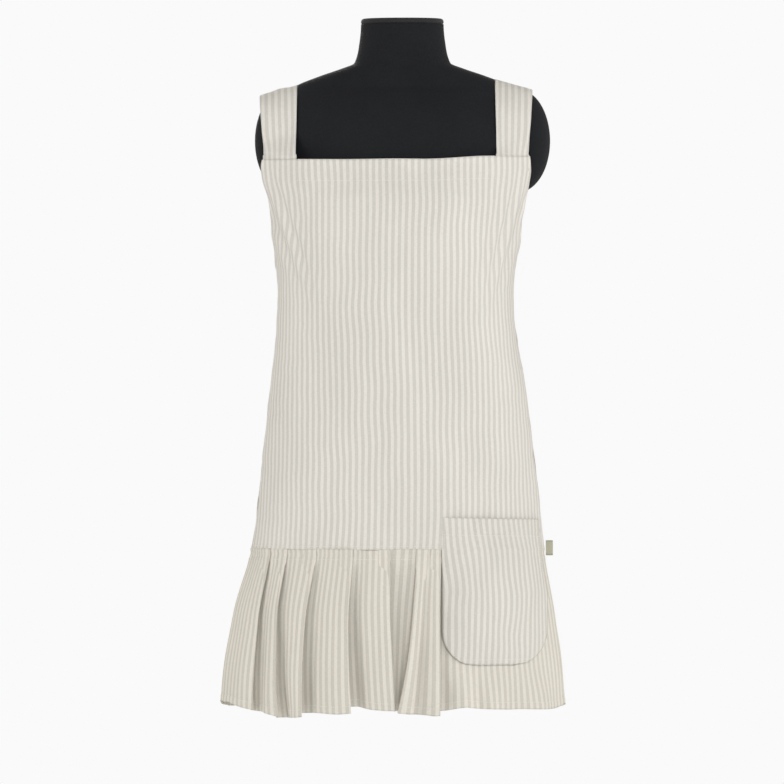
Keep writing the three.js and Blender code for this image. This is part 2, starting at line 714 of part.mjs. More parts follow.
/** A frill over a row of turns, its pleats opening from the seam to the hem. */
function frill(turns, wave, side, tuck) {
  const grid = frillRows.map((z) => turns.map((turn) => apronPoint(Math.sin(turn), z, side)));
  const inner = (i, j) =>
    tuck(Math.sin(turns[j])) + PLEAT_DEPTH * wave[j] * frillFall(frillRows[i]);
  return skin(grid, inner, (i, j) => inner(i, j) + CLOTH, { trim: sideTrim(side) });
}

/** The front frill: pleated up to the pocket, and plain beneath it. */
function frontFrill() {
  const pocketTurn = Math.asin(shareAt(POCKET_X - 6, SEAM_Z));
  const plain = spread(pocketTurn, Math.PI / 2, 9).slice(1);
  const turns = [...pleatTurns(-Math.PI / 2, pocketTurn, PLEATS_FRONT), ...plain];
  const wave = [...pleatWave(PLEATS_FRONT), ...plain.map(() => 0)];
  return frill(turns, wave, -1, () => 0);
}

/** One back frill, pleated from the side seam to near the lap. */
function backFrill(side) {
  const plainTurn = Math.asin(1.8 * LAP);
  const pleated = pleatTurns(Math.PI / 2, plainTurn, PLEATS_BACK);
  const plain = spread(plainTurn, -Math.asin(LAP), 4).slice(1);
  const turns = [...pleated, ...plain];
  const wave = [...pleatWave(PLEATS_BACK), ...plain.map(() => 0)];
  if (side < 0) {
    turns.reverse().forEach((turn, i) => (turns[i] = -turn));
    wave.reverse();
  }
  return frill(turns, wave, 1, (share) => lapTuck(share, side));
}

/** The patch pocket, sewn at its sides and bottom and standing off between. */
function patchPocket() {
  const bottom = POCKET_TOP_Z - POCKET_HEIGHT;
  const corner = spread(0, 1, 3).map((k) => bottom + POCKET_CORNER * (1 - Math.cos((k * Math.PI) / 2)));
  const rows = [...corner, ...spread(bottom + POCKET_CORNER, POCKET_TOP_Z, 6).slice(1)];
  const steps = 10;
  const grid = rows.map((z) => {
    const drop = Math.max(0, POCKET_CORNER - (z - bottom));
    const inset = POCKET_CORNER - Math.sqrt(POCKET_CORNER ** 2 - drop ** 2);
    const middle = sectionValue(apronSections, "middle", z);
    const seam = middle + SIDE_SHARE * sectionValue(apronSections, "half", z);
    const right = Math.min(POCKET_X + POCKET_WIDTH, seam);
    return spread(POCKET_X + 0.8 * inset, right - 0.8 * inset, steps).map((x) =>
      apronPoint(shareAt(x, z), z, -1),
    );
  });
  const room = (i, j) => {
    const across = Math.sin((Math.PI * j) / steps) ** 0.6;
    const up = smooth((2.5 * i) / (rows.length - 1));
    return CLOTH + POCKET_SEAT + POCKET_ROOM * across * up;
  };
  return skin(grid, room, (i, j) => room(i, j) + CLOTH);
}

/** The folded ribbon sewn into the side seam, standing out along +X. */
function sideTag() {
  const leaf = 0.6;
  const half = TAG_THICK / 2;
  const shape = new THREE.Shape([
    new THREE.Vector2(0, -half),
    new THREE.Vector2(TAG_LENGTH, -half),
    new THREE.Vector2(TAG_LENGTH, half),
    new THREE.Vector2(0, half),
    new THREE.Vector2(0, half - leaf),
    new THREE.Vector2(TAG_LENGTH - leaf, half - leaf),
    new THREE.Vector2(TAG_LENGTH - leaf, leaf - half),
    new THREE.Vector2(0, leaf - half),
  ]);
  return new THREE.ExtrudeGeometry(shape, { depth: TAG_HEIGHT, bevelEnabled: false });
}

addPiece(apron, "front_panel", frontPanel(), materials.stripe);
addPiece(apron, "bib_hem", bibHem(), materials.stripe);
addPiece(apron, "frill_front", frontFrill(), materials.stripe);
for (const [name, side] of [["right", -1], ["left", 1]]) {
  addPiece(apron, `back_panel_${name}`, backPanel(side), materials.stripe);
  addPiece(apron, `frill_back_${name}`, backFrill(side), materials.stripe);
  addPiece(apron, `strap_${name}`, strap(side), materials.stripe);
}
addPiece(apron, "patch_pocket", patchPocket(), materials.stripe);

const seamEdges = [TAG_Z, TAG_Z + TAG_HEIGHT].map((z) => apronPoint(1, z, 1).x);
const tag = addPiece(apron, "side_tag", sideTag(), materials.tag);
tag.position.set(Math.max(...seamEdges) + CLOTH + TAG_SWING_GAP, 0, TAG_Z);

export default root;
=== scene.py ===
"""A striped pinafore apron on a black display torso, dressed around its solid model."""

import logging
import math
from dataclasses import dataclass
from enum import Enum

import bmesh
import bpy
import numpy as np
from mathutils import Matrix, Vector


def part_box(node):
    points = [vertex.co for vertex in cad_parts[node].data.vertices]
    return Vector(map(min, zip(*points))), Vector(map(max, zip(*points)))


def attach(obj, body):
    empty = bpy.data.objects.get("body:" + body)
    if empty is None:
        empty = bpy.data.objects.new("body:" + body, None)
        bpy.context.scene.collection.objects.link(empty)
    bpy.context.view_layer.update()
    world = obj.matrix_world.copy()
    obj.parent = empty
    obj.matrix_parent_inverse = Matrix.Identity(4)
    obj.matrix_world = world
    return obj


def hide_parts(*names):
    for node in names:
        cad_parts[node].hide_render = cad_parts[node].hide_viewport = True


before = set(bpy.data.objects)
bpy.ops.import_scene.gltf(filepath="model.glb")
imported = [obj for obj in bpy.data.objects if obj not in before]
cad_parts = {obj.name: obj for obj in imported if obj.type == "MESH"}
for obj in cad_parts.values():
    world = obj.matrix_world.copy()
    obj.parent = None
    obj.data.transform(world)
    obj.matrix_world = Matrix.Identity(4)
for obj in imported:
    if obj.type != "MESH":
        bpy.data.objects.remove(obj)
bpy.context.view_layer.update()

LOG = logging.getLogger("apron")
MM = 0.001
Socket = bpy.types.NodeSocket
Triple = tuple[float, float, float]
CLOTH_MAP = "cloth"  # the UV map of every cloth piece, in metres across and along the cut


class Body(Enum):
    """The bodies that new pieces ride on."""

    TORSO = "dressed_torso"
    CAP = "neck_cap"
    TAG = "side_tag"


class Slot(Enum):
    """Names of material slots; the pieces below do not use them."""

    JERSEY = "jersey"
    PAD = "pad"
    CAP = "cap"
    TICKING = "ticking"
    TAG = "tag"


class Face(Enum):
    """Which face of the apron a piece lies on; the value is the sign of y."""

    FRONT = -1
    BACK = 1


class Hand(Enum):
    """The wearer's side of a piece; the value is the sign of x."""

    RIGHT = -1
    LEFT = 1


# ---------------------------------------------------------------- fields and curves
def smooth(value: np.ndarray) -> np.ndarray:
    """Smoothstep of a value clamped from 0 to 1."""
    t = np.clip(value, 0.0, 1.0)
    return t * t * (3 - 2 * t)


def signed_power(value: np.ndarray, power: float) -> np.ndarray:
    """The value's magnitude to a power, with its own sign."""
    return np.sign(value) * np.abs(value) ** power


def bump(value: np.ndarray, centre: float, width: float) -> np.ndarray:
    """A bell of height 1 about a centre."""
    return np.exp(-(((value - centre) / width) ** 2))


def ripple(across: np.ndarray, along: np.ndarray, size: float, seed: int) -> np.ndarray:
    """A smooth irregular field.

    Args:
        across: first coordinate, in metres.
        along: second coordinate, in metres.
        size: typical distance between crests, in metres.
        seed: chooses the field.

    Returns:
        Values mostly between -1 and 1.
    """
    draw = np.random.RandomState(seed)
    total = np.zeros(np.broadcast(across, along).shape)
    waves = 6
    for _ in range(waves):
        bearing, phase = draw.uniform(0, 2 * math.pi, 2)
        pace = 2 * math.pi / (size * draw.uniform(0.7, 1.6))
        total += np.sin((across * math.cos(bearing) + along * math.sin(bearing)) * pace + phase)
    return total / math.sqrt(2 * waves)


def grid_normals(points: np.ndarray) -> np.ndarray:
    """Unit normals of a structured grid of points, rows along and columns across."""
    normals = np.cross(np.gradient(points, axis=1), np.gradient(points, axis=0))
    return normals / np.maximum(np.linalg.norm(normals, axis=2, keepdims=True), 1e-9)


def arc_across(points: np.ndarray) -> np.ndarray:
    """Length along each row of a structured grid, from its first column."""
    steps = np.linalg.norm(np.diff(points, axis=1), axis=2)
    return np.concatenate([np.zeros((len(points), 1)), np.cumsum(steps, axis=1)], axis=1)


def soften(values: np.ndarray, radius: float, axis: int) -> np.ndarray:
    """A Gaussian blur along one axis with its end values held.

    Args:
        values: the array to blur.
        radius: the Gaussian's deviation, in cells.
        axis: the axis to blur along.

    Returns:
        The blurred array.
    """
    reach = max(1, int(math.ceil(3 * radius)))
    weights = np.exp(-0.5 * (np.arange(-reach, reach + 1) / radius) ** 2)
    weights /= weights.sum()
    moved = np.moveaxis(values, axis, 0)
    padded = np.concatenate([np.repeat(moved[:1], reach, 0), moved, np.repeat(moved[-1:], reach, 0)])
    blurred = sum(w * padded[i : i + len(moved)] for i, w in enumerate(weights))
    return np.moveaxis(blurred, 0, axis)


@dataclass(frozen=True)
class SectionTable:
    """Columns of sizes over height, in millimetres, read as smooth curves in metres."""

    heights: tuple[float, ...]
    columns: dict[str, tuple[float, ...]]
    plain: tuple[str, ...] = ()

    def at(self, column: str, z: np.ndarray) -> np.ndarray:
        """Value of a column at heights in metres, without overshoot."""
        heights = np.array(self.heights) * MM
        values = np.array(self.columns[column], float) * (1.0 if column in self.plain else MM)
        secants = np.diff(values) / np.diff(heights)
        slopes = np.zeros_like(values)
        before, after = secants[:-1], secants[1:]
        same = before * after > 0
        slopes[1:-1][same] = 2 * before[same] * after[same] / (before[same] + after[same])
        level = np.clip(z, heights[0], heights[-1])
        i = np.clip(np.searchsorted(heights, level, side="right") - 1, 0, len(heights) - 2)
        span = heights[i + 1] - heights[i]
        t = (level - heights[i]) / span
        return (
            (2 * t**3 - 3 * t**2 + 1) * values[i]
            + (t**3 - 2 * t**2 + t) * span * slopes[i]
            + (3 * t**2 - 2 * t**3) * values[i + 1]
            + (t**3 - t**2) * span * slopes[i + 1]
        )


@dataclass(frozen=True)
class FormShape:
    """The display torso's outside: a rounded column with two stuffed arm ends."""

    sections: SectionTable = SectionTable(
        (64, 120, 330, 472, 575, 598, 640, 662, 673, 687, 697, 706, 730, 762),
        {
            "half": (158, 160, 125, 150, 170, 172, 169, 162, 150, 115, 86, 66, 60, 57),
            "front": (100, 104, 85, 120, 98, 92, 74, 57, 48, 46, 48, 51, 52, 50),
            "back": (112, 120, 78, 95, 100, 97, 86, 70, 60, 54, 52, 52, 52, 50),
        },
    )
    roundness: float = 2.3
    pad_x: float = 0.1637
    pad_z: float = 0.598
    pad_reach: float = 0.044
    pad_depth: float = 0.046
    pad_height: float = 0.072
    top: float = 0.762

    def ring(self, angle: np.ndarray, z: np.ndarray, proud: float) -> np.ndarray:
        """Points of the column at angles from the front, standing proud of the shells."""
        half = self.sections.at("half", z) + proud
        front = self.sections.at("front", z) + proud
        back = self.sections.at("back", z) + proud
        depth = np.where(np.cos(angle) > 0, front, back)
        x = half * signed_power(np.sin(angle), 2 / self.roundness)
        y = -depth * signed_power(np.cos(angle), 2 / self.roundness)
        return np.stack(np.broadcast_arrays(x, y, z), axis=-1)

    def inside(self, x: np.ndarray, y: np.ndarray, z: np.ndarray, more: float) -> np.ndarray:
        """True where a point lies inside the form grown by `more`."""
        half = self.sections.at("half", z) + more
        depth = np.where(y < 0, self.sections.at("front", z), self.sections.at("back", z)) + more
        column = (np.abs(x) / half) ** self.roundness + (np.abs(y) / depth) ** self.roundness < 1
        out = np.maximum(0, np.abs(x) - self.pad_x) / (self.pad_reach + more)
        fore = y / (self.pad_depth + more)
        up = (z - self.pad_z) / (self.pad_height + more)
        pad = (np.abs(x) > self.pad_x - 0.02) & (out**2 + fore**2 + up**2 < 1)
        return (column | pad) & (z < self.top)

    def reach(self, x: np.ndarray, z: float, dy: np.ndarray, dz: np.ndarray, more: float) -> np.ndarray:
        """How far the form reaches from (x, 0, z) along (0, dy, dz), grown by `more`."""
        x, dy, dz = np.broadcast_arrays(x, dy, dz)
        z = np.broadcast_to(z, x.shape)
        step = 0.002
        distances = np.arange(0, 0.23, step).reshape((-1,) + (1,) * x.ndim)
        hit = self.inside(x[None], dy[None] * distances, z[None] + dz[None] * distances, more)
        last = len(distances) - 1 - np.argmax(hit[::-1], axis=0)
        low = np.where(hit.any(axis=0), last * step, 0.0)
        high = low + step
        for _ in range(10):
            middle = (low + high) / 2
            within = self.inside(x, dy * middle, z + dz * middle, more)
            low, high = np.where(within, middle, low), np.where(within, high, middle)
        return high


@dataclass(frozen=True)
class ApronShape:
    """The apron's own surface, before its wrinkles and pleats."""

    sections: SectionTable = SectionTable(
        (-203, -74, 25, 94, 241, 374, 472, 514, 575),
        {
            "half": (240, 226, 205, 197, 180, 164.5, 175, 188, 208),
            "front": (134, 126, 118, 116, 113, 118, 127, 121, 105),
            "back": (150, 146, 140, 138, 112, 98, 106, 108, 110),
            "middle": (-14, -13, -8, -6, -7, -10, -9, -8, -9),
            "fold": (0.8, 0.78, 0.75, 0.68, 0.6, 0.54, 0.5, 0.5, 0.5),
        },
        ("fold",),
    )
    roundness: float = 2.4
    bib_top: float = 0.575
    armhole: float = 0.430
    seam: float = 0.025
    hem: float = -0.203
    bib_half: float = 0.187
    back_rise: float = 0.016
    lap: float = 0.16
    lap_ease: float = 0.7
    lap_drop: float = 0.0021
    proud: float = 0.0012  # the cloth's outside off this surface

    def middle(self, z: np.ndarray) -> np.ndarray:
        """Sideways place of the apron's middle."""
        return self.sections.at("middle", z)

    def half(self, z: np.ndarray) -> np.ndarray:
        """Half of the apron's width."""
        return self.sections.at("half", z)

    def turn_at(self, x: np.ndarray, z: np.ndarray) -> np.ndarray:
        """The turn, from -90 to 90 degrees in radians, at which the surface lies at x."""
        return np.arcsin(np.clip((x - self.middle(z)) / self.half(z), -1, 1))

    def point(self, turn: np.ndarray, z: np.ndarray, face: Face, out: np.ndarray = 0.0) -> np.ndarray:
        """Points of the surface.

        Args:
            turn: place round the body, -90 degrees at the wearer's right seam.
            z: heights, in metres.
            face: the front or the back.
            out: how far outward, in metres.

        Returns:
            An array of points with the inputs' shape.
        """
        turn, z, out = np.broadcast_arrays(turn, z, out)
        half = self.half(z)
        depth = self.sections.at("front" if face is Face.FRONT else "back", z)
        share = np.sin(turn)
        bow = np.maximum(0, 1 - np.abs(share) ** self.roundness) ** self.sections.at("fold", z)
        aside = depth * share
        ahead = face.value * half * np.cos(turn)
        length = np.hypot(aside, ahead)
        return np.stack(
            [
                self.middle(z) + half * share + out * aside / length,
                face.value * depth * bow + out * ahead / length,
                z,
            ],
            axis=-1,
        )

    def armhole_share(self, z: np.ndarray) -> np.ndarray:
        """How far across the front reaches: all the way below the armholes."""
        top = self.bib_half / self.half(self.bib_top)
        climb = np.clip((z - self.armhole) / (self.bib_top - self.armhole), 0, 1)
        return 1 - (1 - top) * climb**1.6

    def lap_tuck(self, turn: np.ndarray, hand: Hand) -> np.ndarray:
        """How far the wearer's right back piece is tucked in, so that the left one laps over it."""
        if hand is Hand.LEFT:
            return np.zeros_like(turn)
        return -self.lap_drop * smooth((self.lap_ease + np.sin(turn)) / self.lap_ease)


FORM = FormShape()
APRON = ApronShape()


# ---------------------------------------------------------------- materials
class NodeGraph:
    """A material's nodes, added in the order that they are read."""

    def __init__(self, name: str) -> None:
        """Starts a material with a bare Principled surface."""
        self.material = bpy.data.materials.new(name)
        self.material.use_nodes = True
        self.tree = self.material.node_tree
        self.tree.nodes.clear()
        self.surface = self.add("ShaderNodeBsdfPrincipled")
        self.add("ShaderNodeOutputMaterial", {"Surface": self.surface.outputs[0]})

    def add(self, kind: str, inputs: dict | None = None, **settings: object) -> bpy.types.Node:
        """Adds a node.

        Args:
            kind: the node's type.
            inputs: values, or sockets to link, by the input's name or number.
            settings: properties of the node.

        Returns:
            The new node.
        """
        node = self.tree.nodes.new(kind)
        for key, value in settings.items():
            setattr(node, key, value)
        for key, value in (inputs or {}).items():
            if isinstance(value, Socket):
                self.tree.links.new(value, node.inputs[key])
            else:
                node.inputs[key].default_value = value
        return node

    def maths(self, operation: str, first: object, second: object = 0.0) -> Socket:
        """The result of one sum of two numbers or sockets."""
        return self.add("ShaderNodeMath", {0: first, 1: second}, operation=operation).outputs[0]

    def noise(self, vector: Socket, scale: float, detail: float = 2.0) -> Socket:
        """A noise from 0 to 1 over a vector."""
        inputs = {"Vector": vector, "Scale": scale, "Detail": detail}
        return self.add("ShaderNodeTexNoise", inputs).outputs["Fac"]

    def stretch(self, vector: Socket, scale: Triple) -> Socket:
        """A vector scaled along its axes."""
        return self.add("ShaderNodeMapping", {"Vector": vector, "Scale": scale}).outputs[0]

    def blend(self, share: object, first: object, second: object, mode: str = "MIX") -> Socket:
        """A colour between two colours."""
        node = self.add("ShaderNodeMix", None, data_type="RGBA", blend_type=mode)
        for index, value in ((0, share), (6, first), (7, second)):
            if isinstance(value, Socket):
                self.tree.links.new(value, node.inputs[index])
            else:
                node.inputs[index].default_value = value
        return node.outputs[2]

    def ramp(
        self, value: Socket, low: float, high: float, first: float, last: float
    ) -> Socket:
        """A value eased from one span to another."""
        inputs = {"Value": value, "From Min": low, "From Max": high, "To Min": first, "To Max": last}
        return self.add("ShaderNodeMapRange", inputs, interpolation_type="SMOOTHSTEP").outputs[0]

    def relief(
        self, height: Socket, distance: float, strength: float, under: object = None
    ) -> Socket:
        """A normal bent by a height, over another normal where one is given."""
        inputs = {"Height": height, "Distance": distance, "Strength": strength}
        if under is not None:
            inputs["Normal"] = under
        return self.add("ShaderNodeBump", inputs).outputs[0]

    def own_place(self) -> Socket:
        """The place in the piece's own frame, in metres."""
        return self.add("ShaderNodeTexCoord").outputs["Object"]

    def cut_place(self) -> tuple[Socket, Socket, Socket]:
        """The place on the flat cut, and its parts across and along."""
        cloth = self.add("ShaderNodeUVMap", None, uv_map=CLOTH_MAP).outputs[0]
        parts = self.add("ShaderNodeSeparateXYZ", {0: cloth})
        return cloth, parts.outputs[0], parts.outputs[1]

    def waves(self, value: Socket, pitch: float) -> Socket:
        """A sine of a value that repeats every pitch."""
        return self.maths("SINE", self.maths("MULTIPLY", value, 2 * math.pi / pitch))

    def toned(self, colour: Socket, tone: Socket) -> Socket:
        """A colour made darker or paler by a grey tone."""
        grey = self.add("ShaderNodeCombineColor", {0: tone, 1: tone, 2: tone}).outputs[0]
        return self.blend(1.0, colour, grey, "MULTIPLY")

    def finish(self, **sockets: object) -> bpy.types.Material:
        """Sets the surface's inputs, whose names are given with _ for a space."""
        for key, value in sockets.items():
            socket = self.surface.inputs[key.replace("_", " ")]
            if isinstance(value, Socket):
                self.tree.links.new(value, socket)
            else:
                socket.default_value = value
        return self.material


Colour = tuple[float, float, float, float]


def shaded(colour: Colour, share: float) -> Colour:
    """A colour with its three parts multiplied by a share."""
    return tuple(share * c for c in colour[:3]) + (1,)


@dataclass(frozen=True)
class TickingFinish:
    """Striped cotton-linen ticking, read from the cloth's own map."""

    name: str = "ticking"
    light: Colour = (0.80, 0.782, 0.742, 1)
    dark: Colour = (0.660, 0.644, 0.606, 1)
    pitch: float = 0.0091
    shift: float = 0.0
    wander: float = 0.0014
    stripe_weight: float = 1.43
    warp_pitch: float = 0.0009
    weft_pitch: float = 0.0010

    def make(self) -> bpy.types.Material:
        """Builds the material."""
        graph = NodeGraph(self.name)
        cloth, across, along = graph.cut_place()
        drift = graph.noise(graph.stretch(cloth, (30, 9, 1)), 1.0, 1.0)
        aside = graph.maths("MULTIPLY", graph.maths("SUBTRACT", drift, 0.5), self.wander)
        place = graph.maths("ADD", across, aside)
        turns = graph.maths("ADD", graph.maths("DIVIDE", place, self.pitch), self.shift)
        tooth = graph.maths("PINGPONG", turns, 0.5)
        stripe = graph.ramp(tooth, 0.215, 0.285, 0.0, 1.0)
        lines = graph.maths("SINE", graph.maths("MULTIPLY", turns, 2 * math.pi * 7))
        weight = graph.maths("ADD", self.stripe_weight, graph.maths("MULTIPLY", lines, 0.09))
        stripe = graph.maths("MULTIPLY", stripe, weight)
        slub = graph.noise(graph.stretch(cloth, (1500, 210, 1)), 1.0, 2.0)
        weft = graph.noise(graph.stretch(cloth, (160, 1700, 1)), 1.0, 2.0)
        threads = graph.maths("ADD", slub, weft)
        cloud = graph.noise(graph.stretch(cloth, (14, 5, 1)), 1.0, 3.0)
        colour = graph.blend(stripe, self.light, self.dark)
        yarn = graph.ramp(threads, 0.6, 1.4, 0.93, 1.05)
        tone = graph.maths("ADD", yarn, graph.ramp(cloud, 0.3, 0.7, -0.025, 0.025))
        colour = graph.toned(colour, tone)
        warp = graph.waves(across, self.warp_pitch)
        pick = graph.waves(along, self.weft_pitch)
        weave = graph.maths("ADD", graph.maths("MULTIPLY", warp, pick), threads)
        creases = graph.noise(graph.stretch(cloth, (38, 22, 1)), 1.0, 3.0)
        normal = graph.relief(creases, 0.0035, 0.55)
        normal = graph.relief(weave, 0.00025, 0.5, normal)
        return graph.finish(
            Base_Color=colour,
            Roughness=0.92,
            Normal=normal,
            Specular_IOR_Level=0.22,
            Sheen_Weight=0.12,
            Sheen_Roughness=0.5,
        )


@dataclass(frozen=True)
class KnitFinish:
    """Fine black jersey, pulled tight."""

    name: str = "jersey"
    colour: Colour = (0.0072, 0.0082, 0.0108, 1)
    sheen: float = 0.04
    gauge: float = 0.0011

    def make(self) -> bpy.types.Material:
        """Builds the material."""
        graph = NodeGraph(self.name)
        place = graph.own_place()
        parts = graph.add("ShaderNodeSeparateXYZ", {0: place})
        wale = graph.waves(parts.outputs[0], self.gauge)
        course = graph.waves(parts.outputs[2], 1.2 * self.gauge)
        lint = graph.noise(place, 420, 3)
        soft = graph.noise(place, 16, 2)
        knit = graph.maths("ADD", graph.maths("MULTIPLY", wale, course), graph.maths("MULTIPLY", lint, 1.6))
        paler = shaded(self.colour, 1.3)
        colour = graph.blend(graph.ramp(soft, 0.3, 0.75, 0.0, 0.8), self.colour, paler)
        return graph.finish(
            Base_Color=colour,
            Roughness=graph.ramp(lint, 0.2, 0.8, 0.78, 0.92),
            Normal=graph.relief(knit, 0.0003, 0.5),
            Specular_IOR_Level=0.25,
            Sheen_Weight=self.sheen,
            Sheen_Roughness=0.45,
            Sheen_Tint=(0.75, 0.77, 0.8, 1),
        )


@dataclass(frozen=True)
class RibbonFinish:
    """Ribbed sage ribbon with paler bound edges."""

    name: str = "tag_ribbon"
    colour: Colour = (0.49, 0.48, 0.375, 1)
    edge: Colour = (0.36, 0.37, 0.27, 1)
    rib: float = 0.0008
    middle: float = 0.0105

    def make(self) -> bpy.types.Material:
        """Builds the material."""
        graph = NodeGraph(self.name)
        cloth, across, along = graph.cut_place()
        rib = graph.waves(across, self.rib)
        thread = graph.noise(graph.stretch(cloth, (300, 1500, 1)), 1.0, 2.0)
        border = graph.maths("ABSOLUTE", graph.maths("SUBTRACT", along, self.middle))
        colour = graph.blend(graph.ramp(border, 0.0078, 0.0092, 0, 1), self.colour, self.edge)
        shade = graph.ramp(thread, 0.2, 0.8, 0.86, 1.08)
        colour = graph.toned(colour, shade)
        return graph.finish(
            Base_Color=colour,
            Roughness=0.72,
            Normal=graph.relief(graph.maths("ADD", rib, thread), 0.0002, 0.6),
            Sheen_Weight=0.15,
        )


@dataclass(frozen=True)
class PlyFinish:
    """Birch plywood with its layers on the edge."""

    name: str = "plywood"
    colour: Colour = (0.56, 0.37, 0.19, 1)
    layers_per_metre: float = 420

    def make(self) -> bpy.types.Material:
        """Builds the material."""
        graph = NodeGraph(self.name)
        place = graph.own_place()
        grain = graph.noise(graph.stretch(place, (9, 160, 160)), 1.0, 4.0)
        height = graph.add("ShaderNodeSeparateXYZ", {0: place}).outputs[2]
        layer = graph.maths("PINGPONG", graph.maths("MULTIPLY", height, self.layers_per_metre), 0.5)
        deep = shaded(self.colour, 0.6)
        colour = graph.blend(graph.ramp(grain, 0.3, 0.7, 0, 1), self.colour, deep)
        colour = graph.blend(graph.ramp(layer, 0.2, 0.3, 0, 0.25), colour, deep)
        return graph.finish(Base_Color=colour, Roughness=0.62, Normal=graph.relief(grain, 0.0005, 0.3))


@dataclass(frozen=True)
class MetalFinish:
    """Turned or plated steel with fine scratches and a little dulling."""

    name: str = "brushed_steel"
    colour: Colour = (0.42, 0.43, 0.44, 1)
    roughness: float = 0.34

    def make(self) -> bpy.types.Material:
        """Builds the material."""
        graph = NodeGraph(self.name)
        place = graph.own_place()
        scratch = graph.noise(graph.stretch(place, (180, 180, 2600)), 1.0, 3.0)
        dull = graph.noise(place, 38, 4)
        darker = shaded(self.colour, 0.7)
        return graph.finish(
            Base_Color=graph.blend(graph.ramp(dull, 0.35, 0.7, 0, 1), self.colour, darker),
            Metallic=1.0,
            Roughness=graph.ramp(scratch, 0.2, 0.8, self.roughness - 0.08, self.roughness + 0.16),
            Normal=graph.relief(scratch, 0.0002, 0.25),
        )


@dataclass(frozen=True)
class MouldedFinish:
    """A moulded surface: the torso's shell or the hand screw's knob."""

    name: str
    colour: Colour
    roughness: float
    grain: float = 900.0

    def make(self) -> bpy.types.Material:
        """Builds the material."""
        graph = NodeGraph(self.name)
        place = graph.own_place()
        grain = graph.noise(place, self.grain, 2)
        worn = graph.noise(place, 45, 4)
        darker = shaded(self.colour, 0.72)
        return graph.finish(
            Base_Color=graph.blend(graph.ramp(worn, 0.35, 0.7, 0, 1), self.colour, darker),
            Roughness=graph.ramp(worn, 0.2, 0.8, self.roughness - 0.08, self.roughness + 0.1),
            Normal=graph.relief(grain, 0.0002, 0.4),
        )


@dataclass(frozen=True)
class ThreadFinish:
    """Sewing thread a little brighter than the cloth."""

    name: str = "sewing_thread"
    colour: Colour = (0.9, 0.88, 0.82, 1)

    def make(self) -> bpy.types.Material:
        """Builds the material."""
        graph = NodeGraph(self.name)
        place = graph.own_place()
        twist = graph.noise(place, 1600, 1)
        shade = shaded(self.colour, 0.82)
        return graph.finish(
            Base_Color=graph.blend(twist, self.colour, shade),
            Roughness=0.6,
            Normal=graph.relief(twist, 0.0001, 0.4),
            Sheen_Weight=0.2,
        )


class Wardrobe:
    """Every finish of the object, each made once."""

    def __init__(self) -> None:
        """Makes the materials."""
        self.ticking = TickingFinish().make()
        # Painted shade: the frill's ticking is a darker, warmer copy of the body's ticking, standing in for
        # the shade in the frill's folds.
        self.shaded_frill_ticking = TickingFinish(
            name="shaded_frill_ticking", light=(0.785, 0.757, 0.694, 1), dark=(0.645, 0.619, 0.560, 1)
        ).make()
        # Painted shade: the pocket's ticking is a slightly darker copy of the body's ticking; its stripes are
        # shifted as a real offset of the cut.
        self.shaded_pocket_ticking = TickingFinish(
            name="shaded_pocket_ticking", light=(0.776, 0.757, 0.715, 1), dark=(0.636, 0.62, 0.582, 1), shift=0.12
        ).make()
        self.jersey = KnitFinish().make()
        # Painted highlight: the cap's black is paler than the cover's, for the lighter sheen strip along the
        # neck's top edge.
        self.cap = KnitFinish(name="cap_jersey", colour=(0.02, 0.02, 0.022, 1), sheen=0.2).make()
        self.ribbon = RibbonFinish().make()
        self.ply = PlyFinish().make()
        self.steel = MetalFinish().make()
        self.screw = MetalFinish(name="screw_steel", colour=(0.36, 0.37, 0.39, 1), roughness=0.4).make()
        self.shell = MouldedFinish("moulded_shell", (0.62, 0.58, 0.5, 1), 0.6, 300).make()
        self.knob = MouldedFinish("knob_plastic", (0.02, 0.02, 0.021, 1), 0.45).make()
        self.thread = ThreadFinish().make()


# ---------------------------------------------------------------- mesh work
def sheet_mesh(points: np.ndarray, cloth: np.ndarray) -> bmesh.types.BMesh:
    """A grid moved to a structured set of points.

    Args:
        points: rows by columns by 3, columns running to the right seen from outside.
        cloth: rows by columns by 2, the place on the flat cut in metres.

    Returns:
        The mesh, smooth, with the cloth map.
    """
    rows, columns = points.shape[0] - 1, points.shape[1] - 1
    mesh = bmesh.new()
    layer = mesh.loops.layers.uv.new(CLOTH_MAP)
    bmesh.ops.create_grid(mesh, x_segments=columns, y_segments=rows, size=0.5)
    cells = [
        (round((v.co.y + 0.5) * rows), round((v.co.x + 0.5) * columns)) for v in mesh.verts
    ]
    mesh.verts.index_update()
    for face in mesh.faces:
        face.smooth = True
        for loop in face.loops:
            loop[layer].uv = cloth[cells[loop.vert.index]]
    for vert, cell in zip(mesh.verts, cells):
        vert.co = points[cell]
    return mesh


def add_piece(
    name: str,
    mesh: bmesh.types.BMesh,
    material: bpy.types.Material,
    body: Body,
    replaced: tuple[str, ...] = (),
) -> bpy.types.Object:
    """Makes a mesh an object of the model.

    Args:
        name: the piece's name.
        mesh: its mesh, in place; it is freed.
        material: its finish.
        body: the CAD body it rides on.
        replaced: the CAD nodes it stands for.

    Returns:
        The object.
    """
    data = bpy.data.meshes.new(name)
    mesh.to_mesh(data)
    mesh.free()
    piece = bpy.data.objects.new(name, data)
    bpy.context.scene.collection.objects.link(piece)
    data.materials.append(material)
    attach(piece, body.value)
    if replaced:
        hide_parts(*replaced)
    LOG.info("%s: %d faces", name, len(data.polygons))
    return piece


def thicken(piece: bpy.types.Object, thickness: float) -> None:
    """Gives a sheet its thickness, inward from its outside."""
    wall = piece.modifiers.new("cloth thickness", "SOLIDIFY")
    wall.thickness = thickness
    wall.offset = -1
    wall.use_rim = True


@dataclass
class ClothPiece:
    """A cut piece of cloth on its way to becoming an object."""

    name: str
    points: np.ndarray
    cloth: np.ndarray
    replaced: tuple[str, ...]
    held: str
    rests_on: tuple[str, ...]
    thickness: float = 0.0008

    def build(self, material: bpy.types.Material) -> bpy.types.Object:
        mesh = sheet_mesh(self.points, self.cloth)
        piece = add_piece(self.name, mesh, material, Body.TORSO, self.replaced)
        thicken(piece, self.thickness)
        return piece


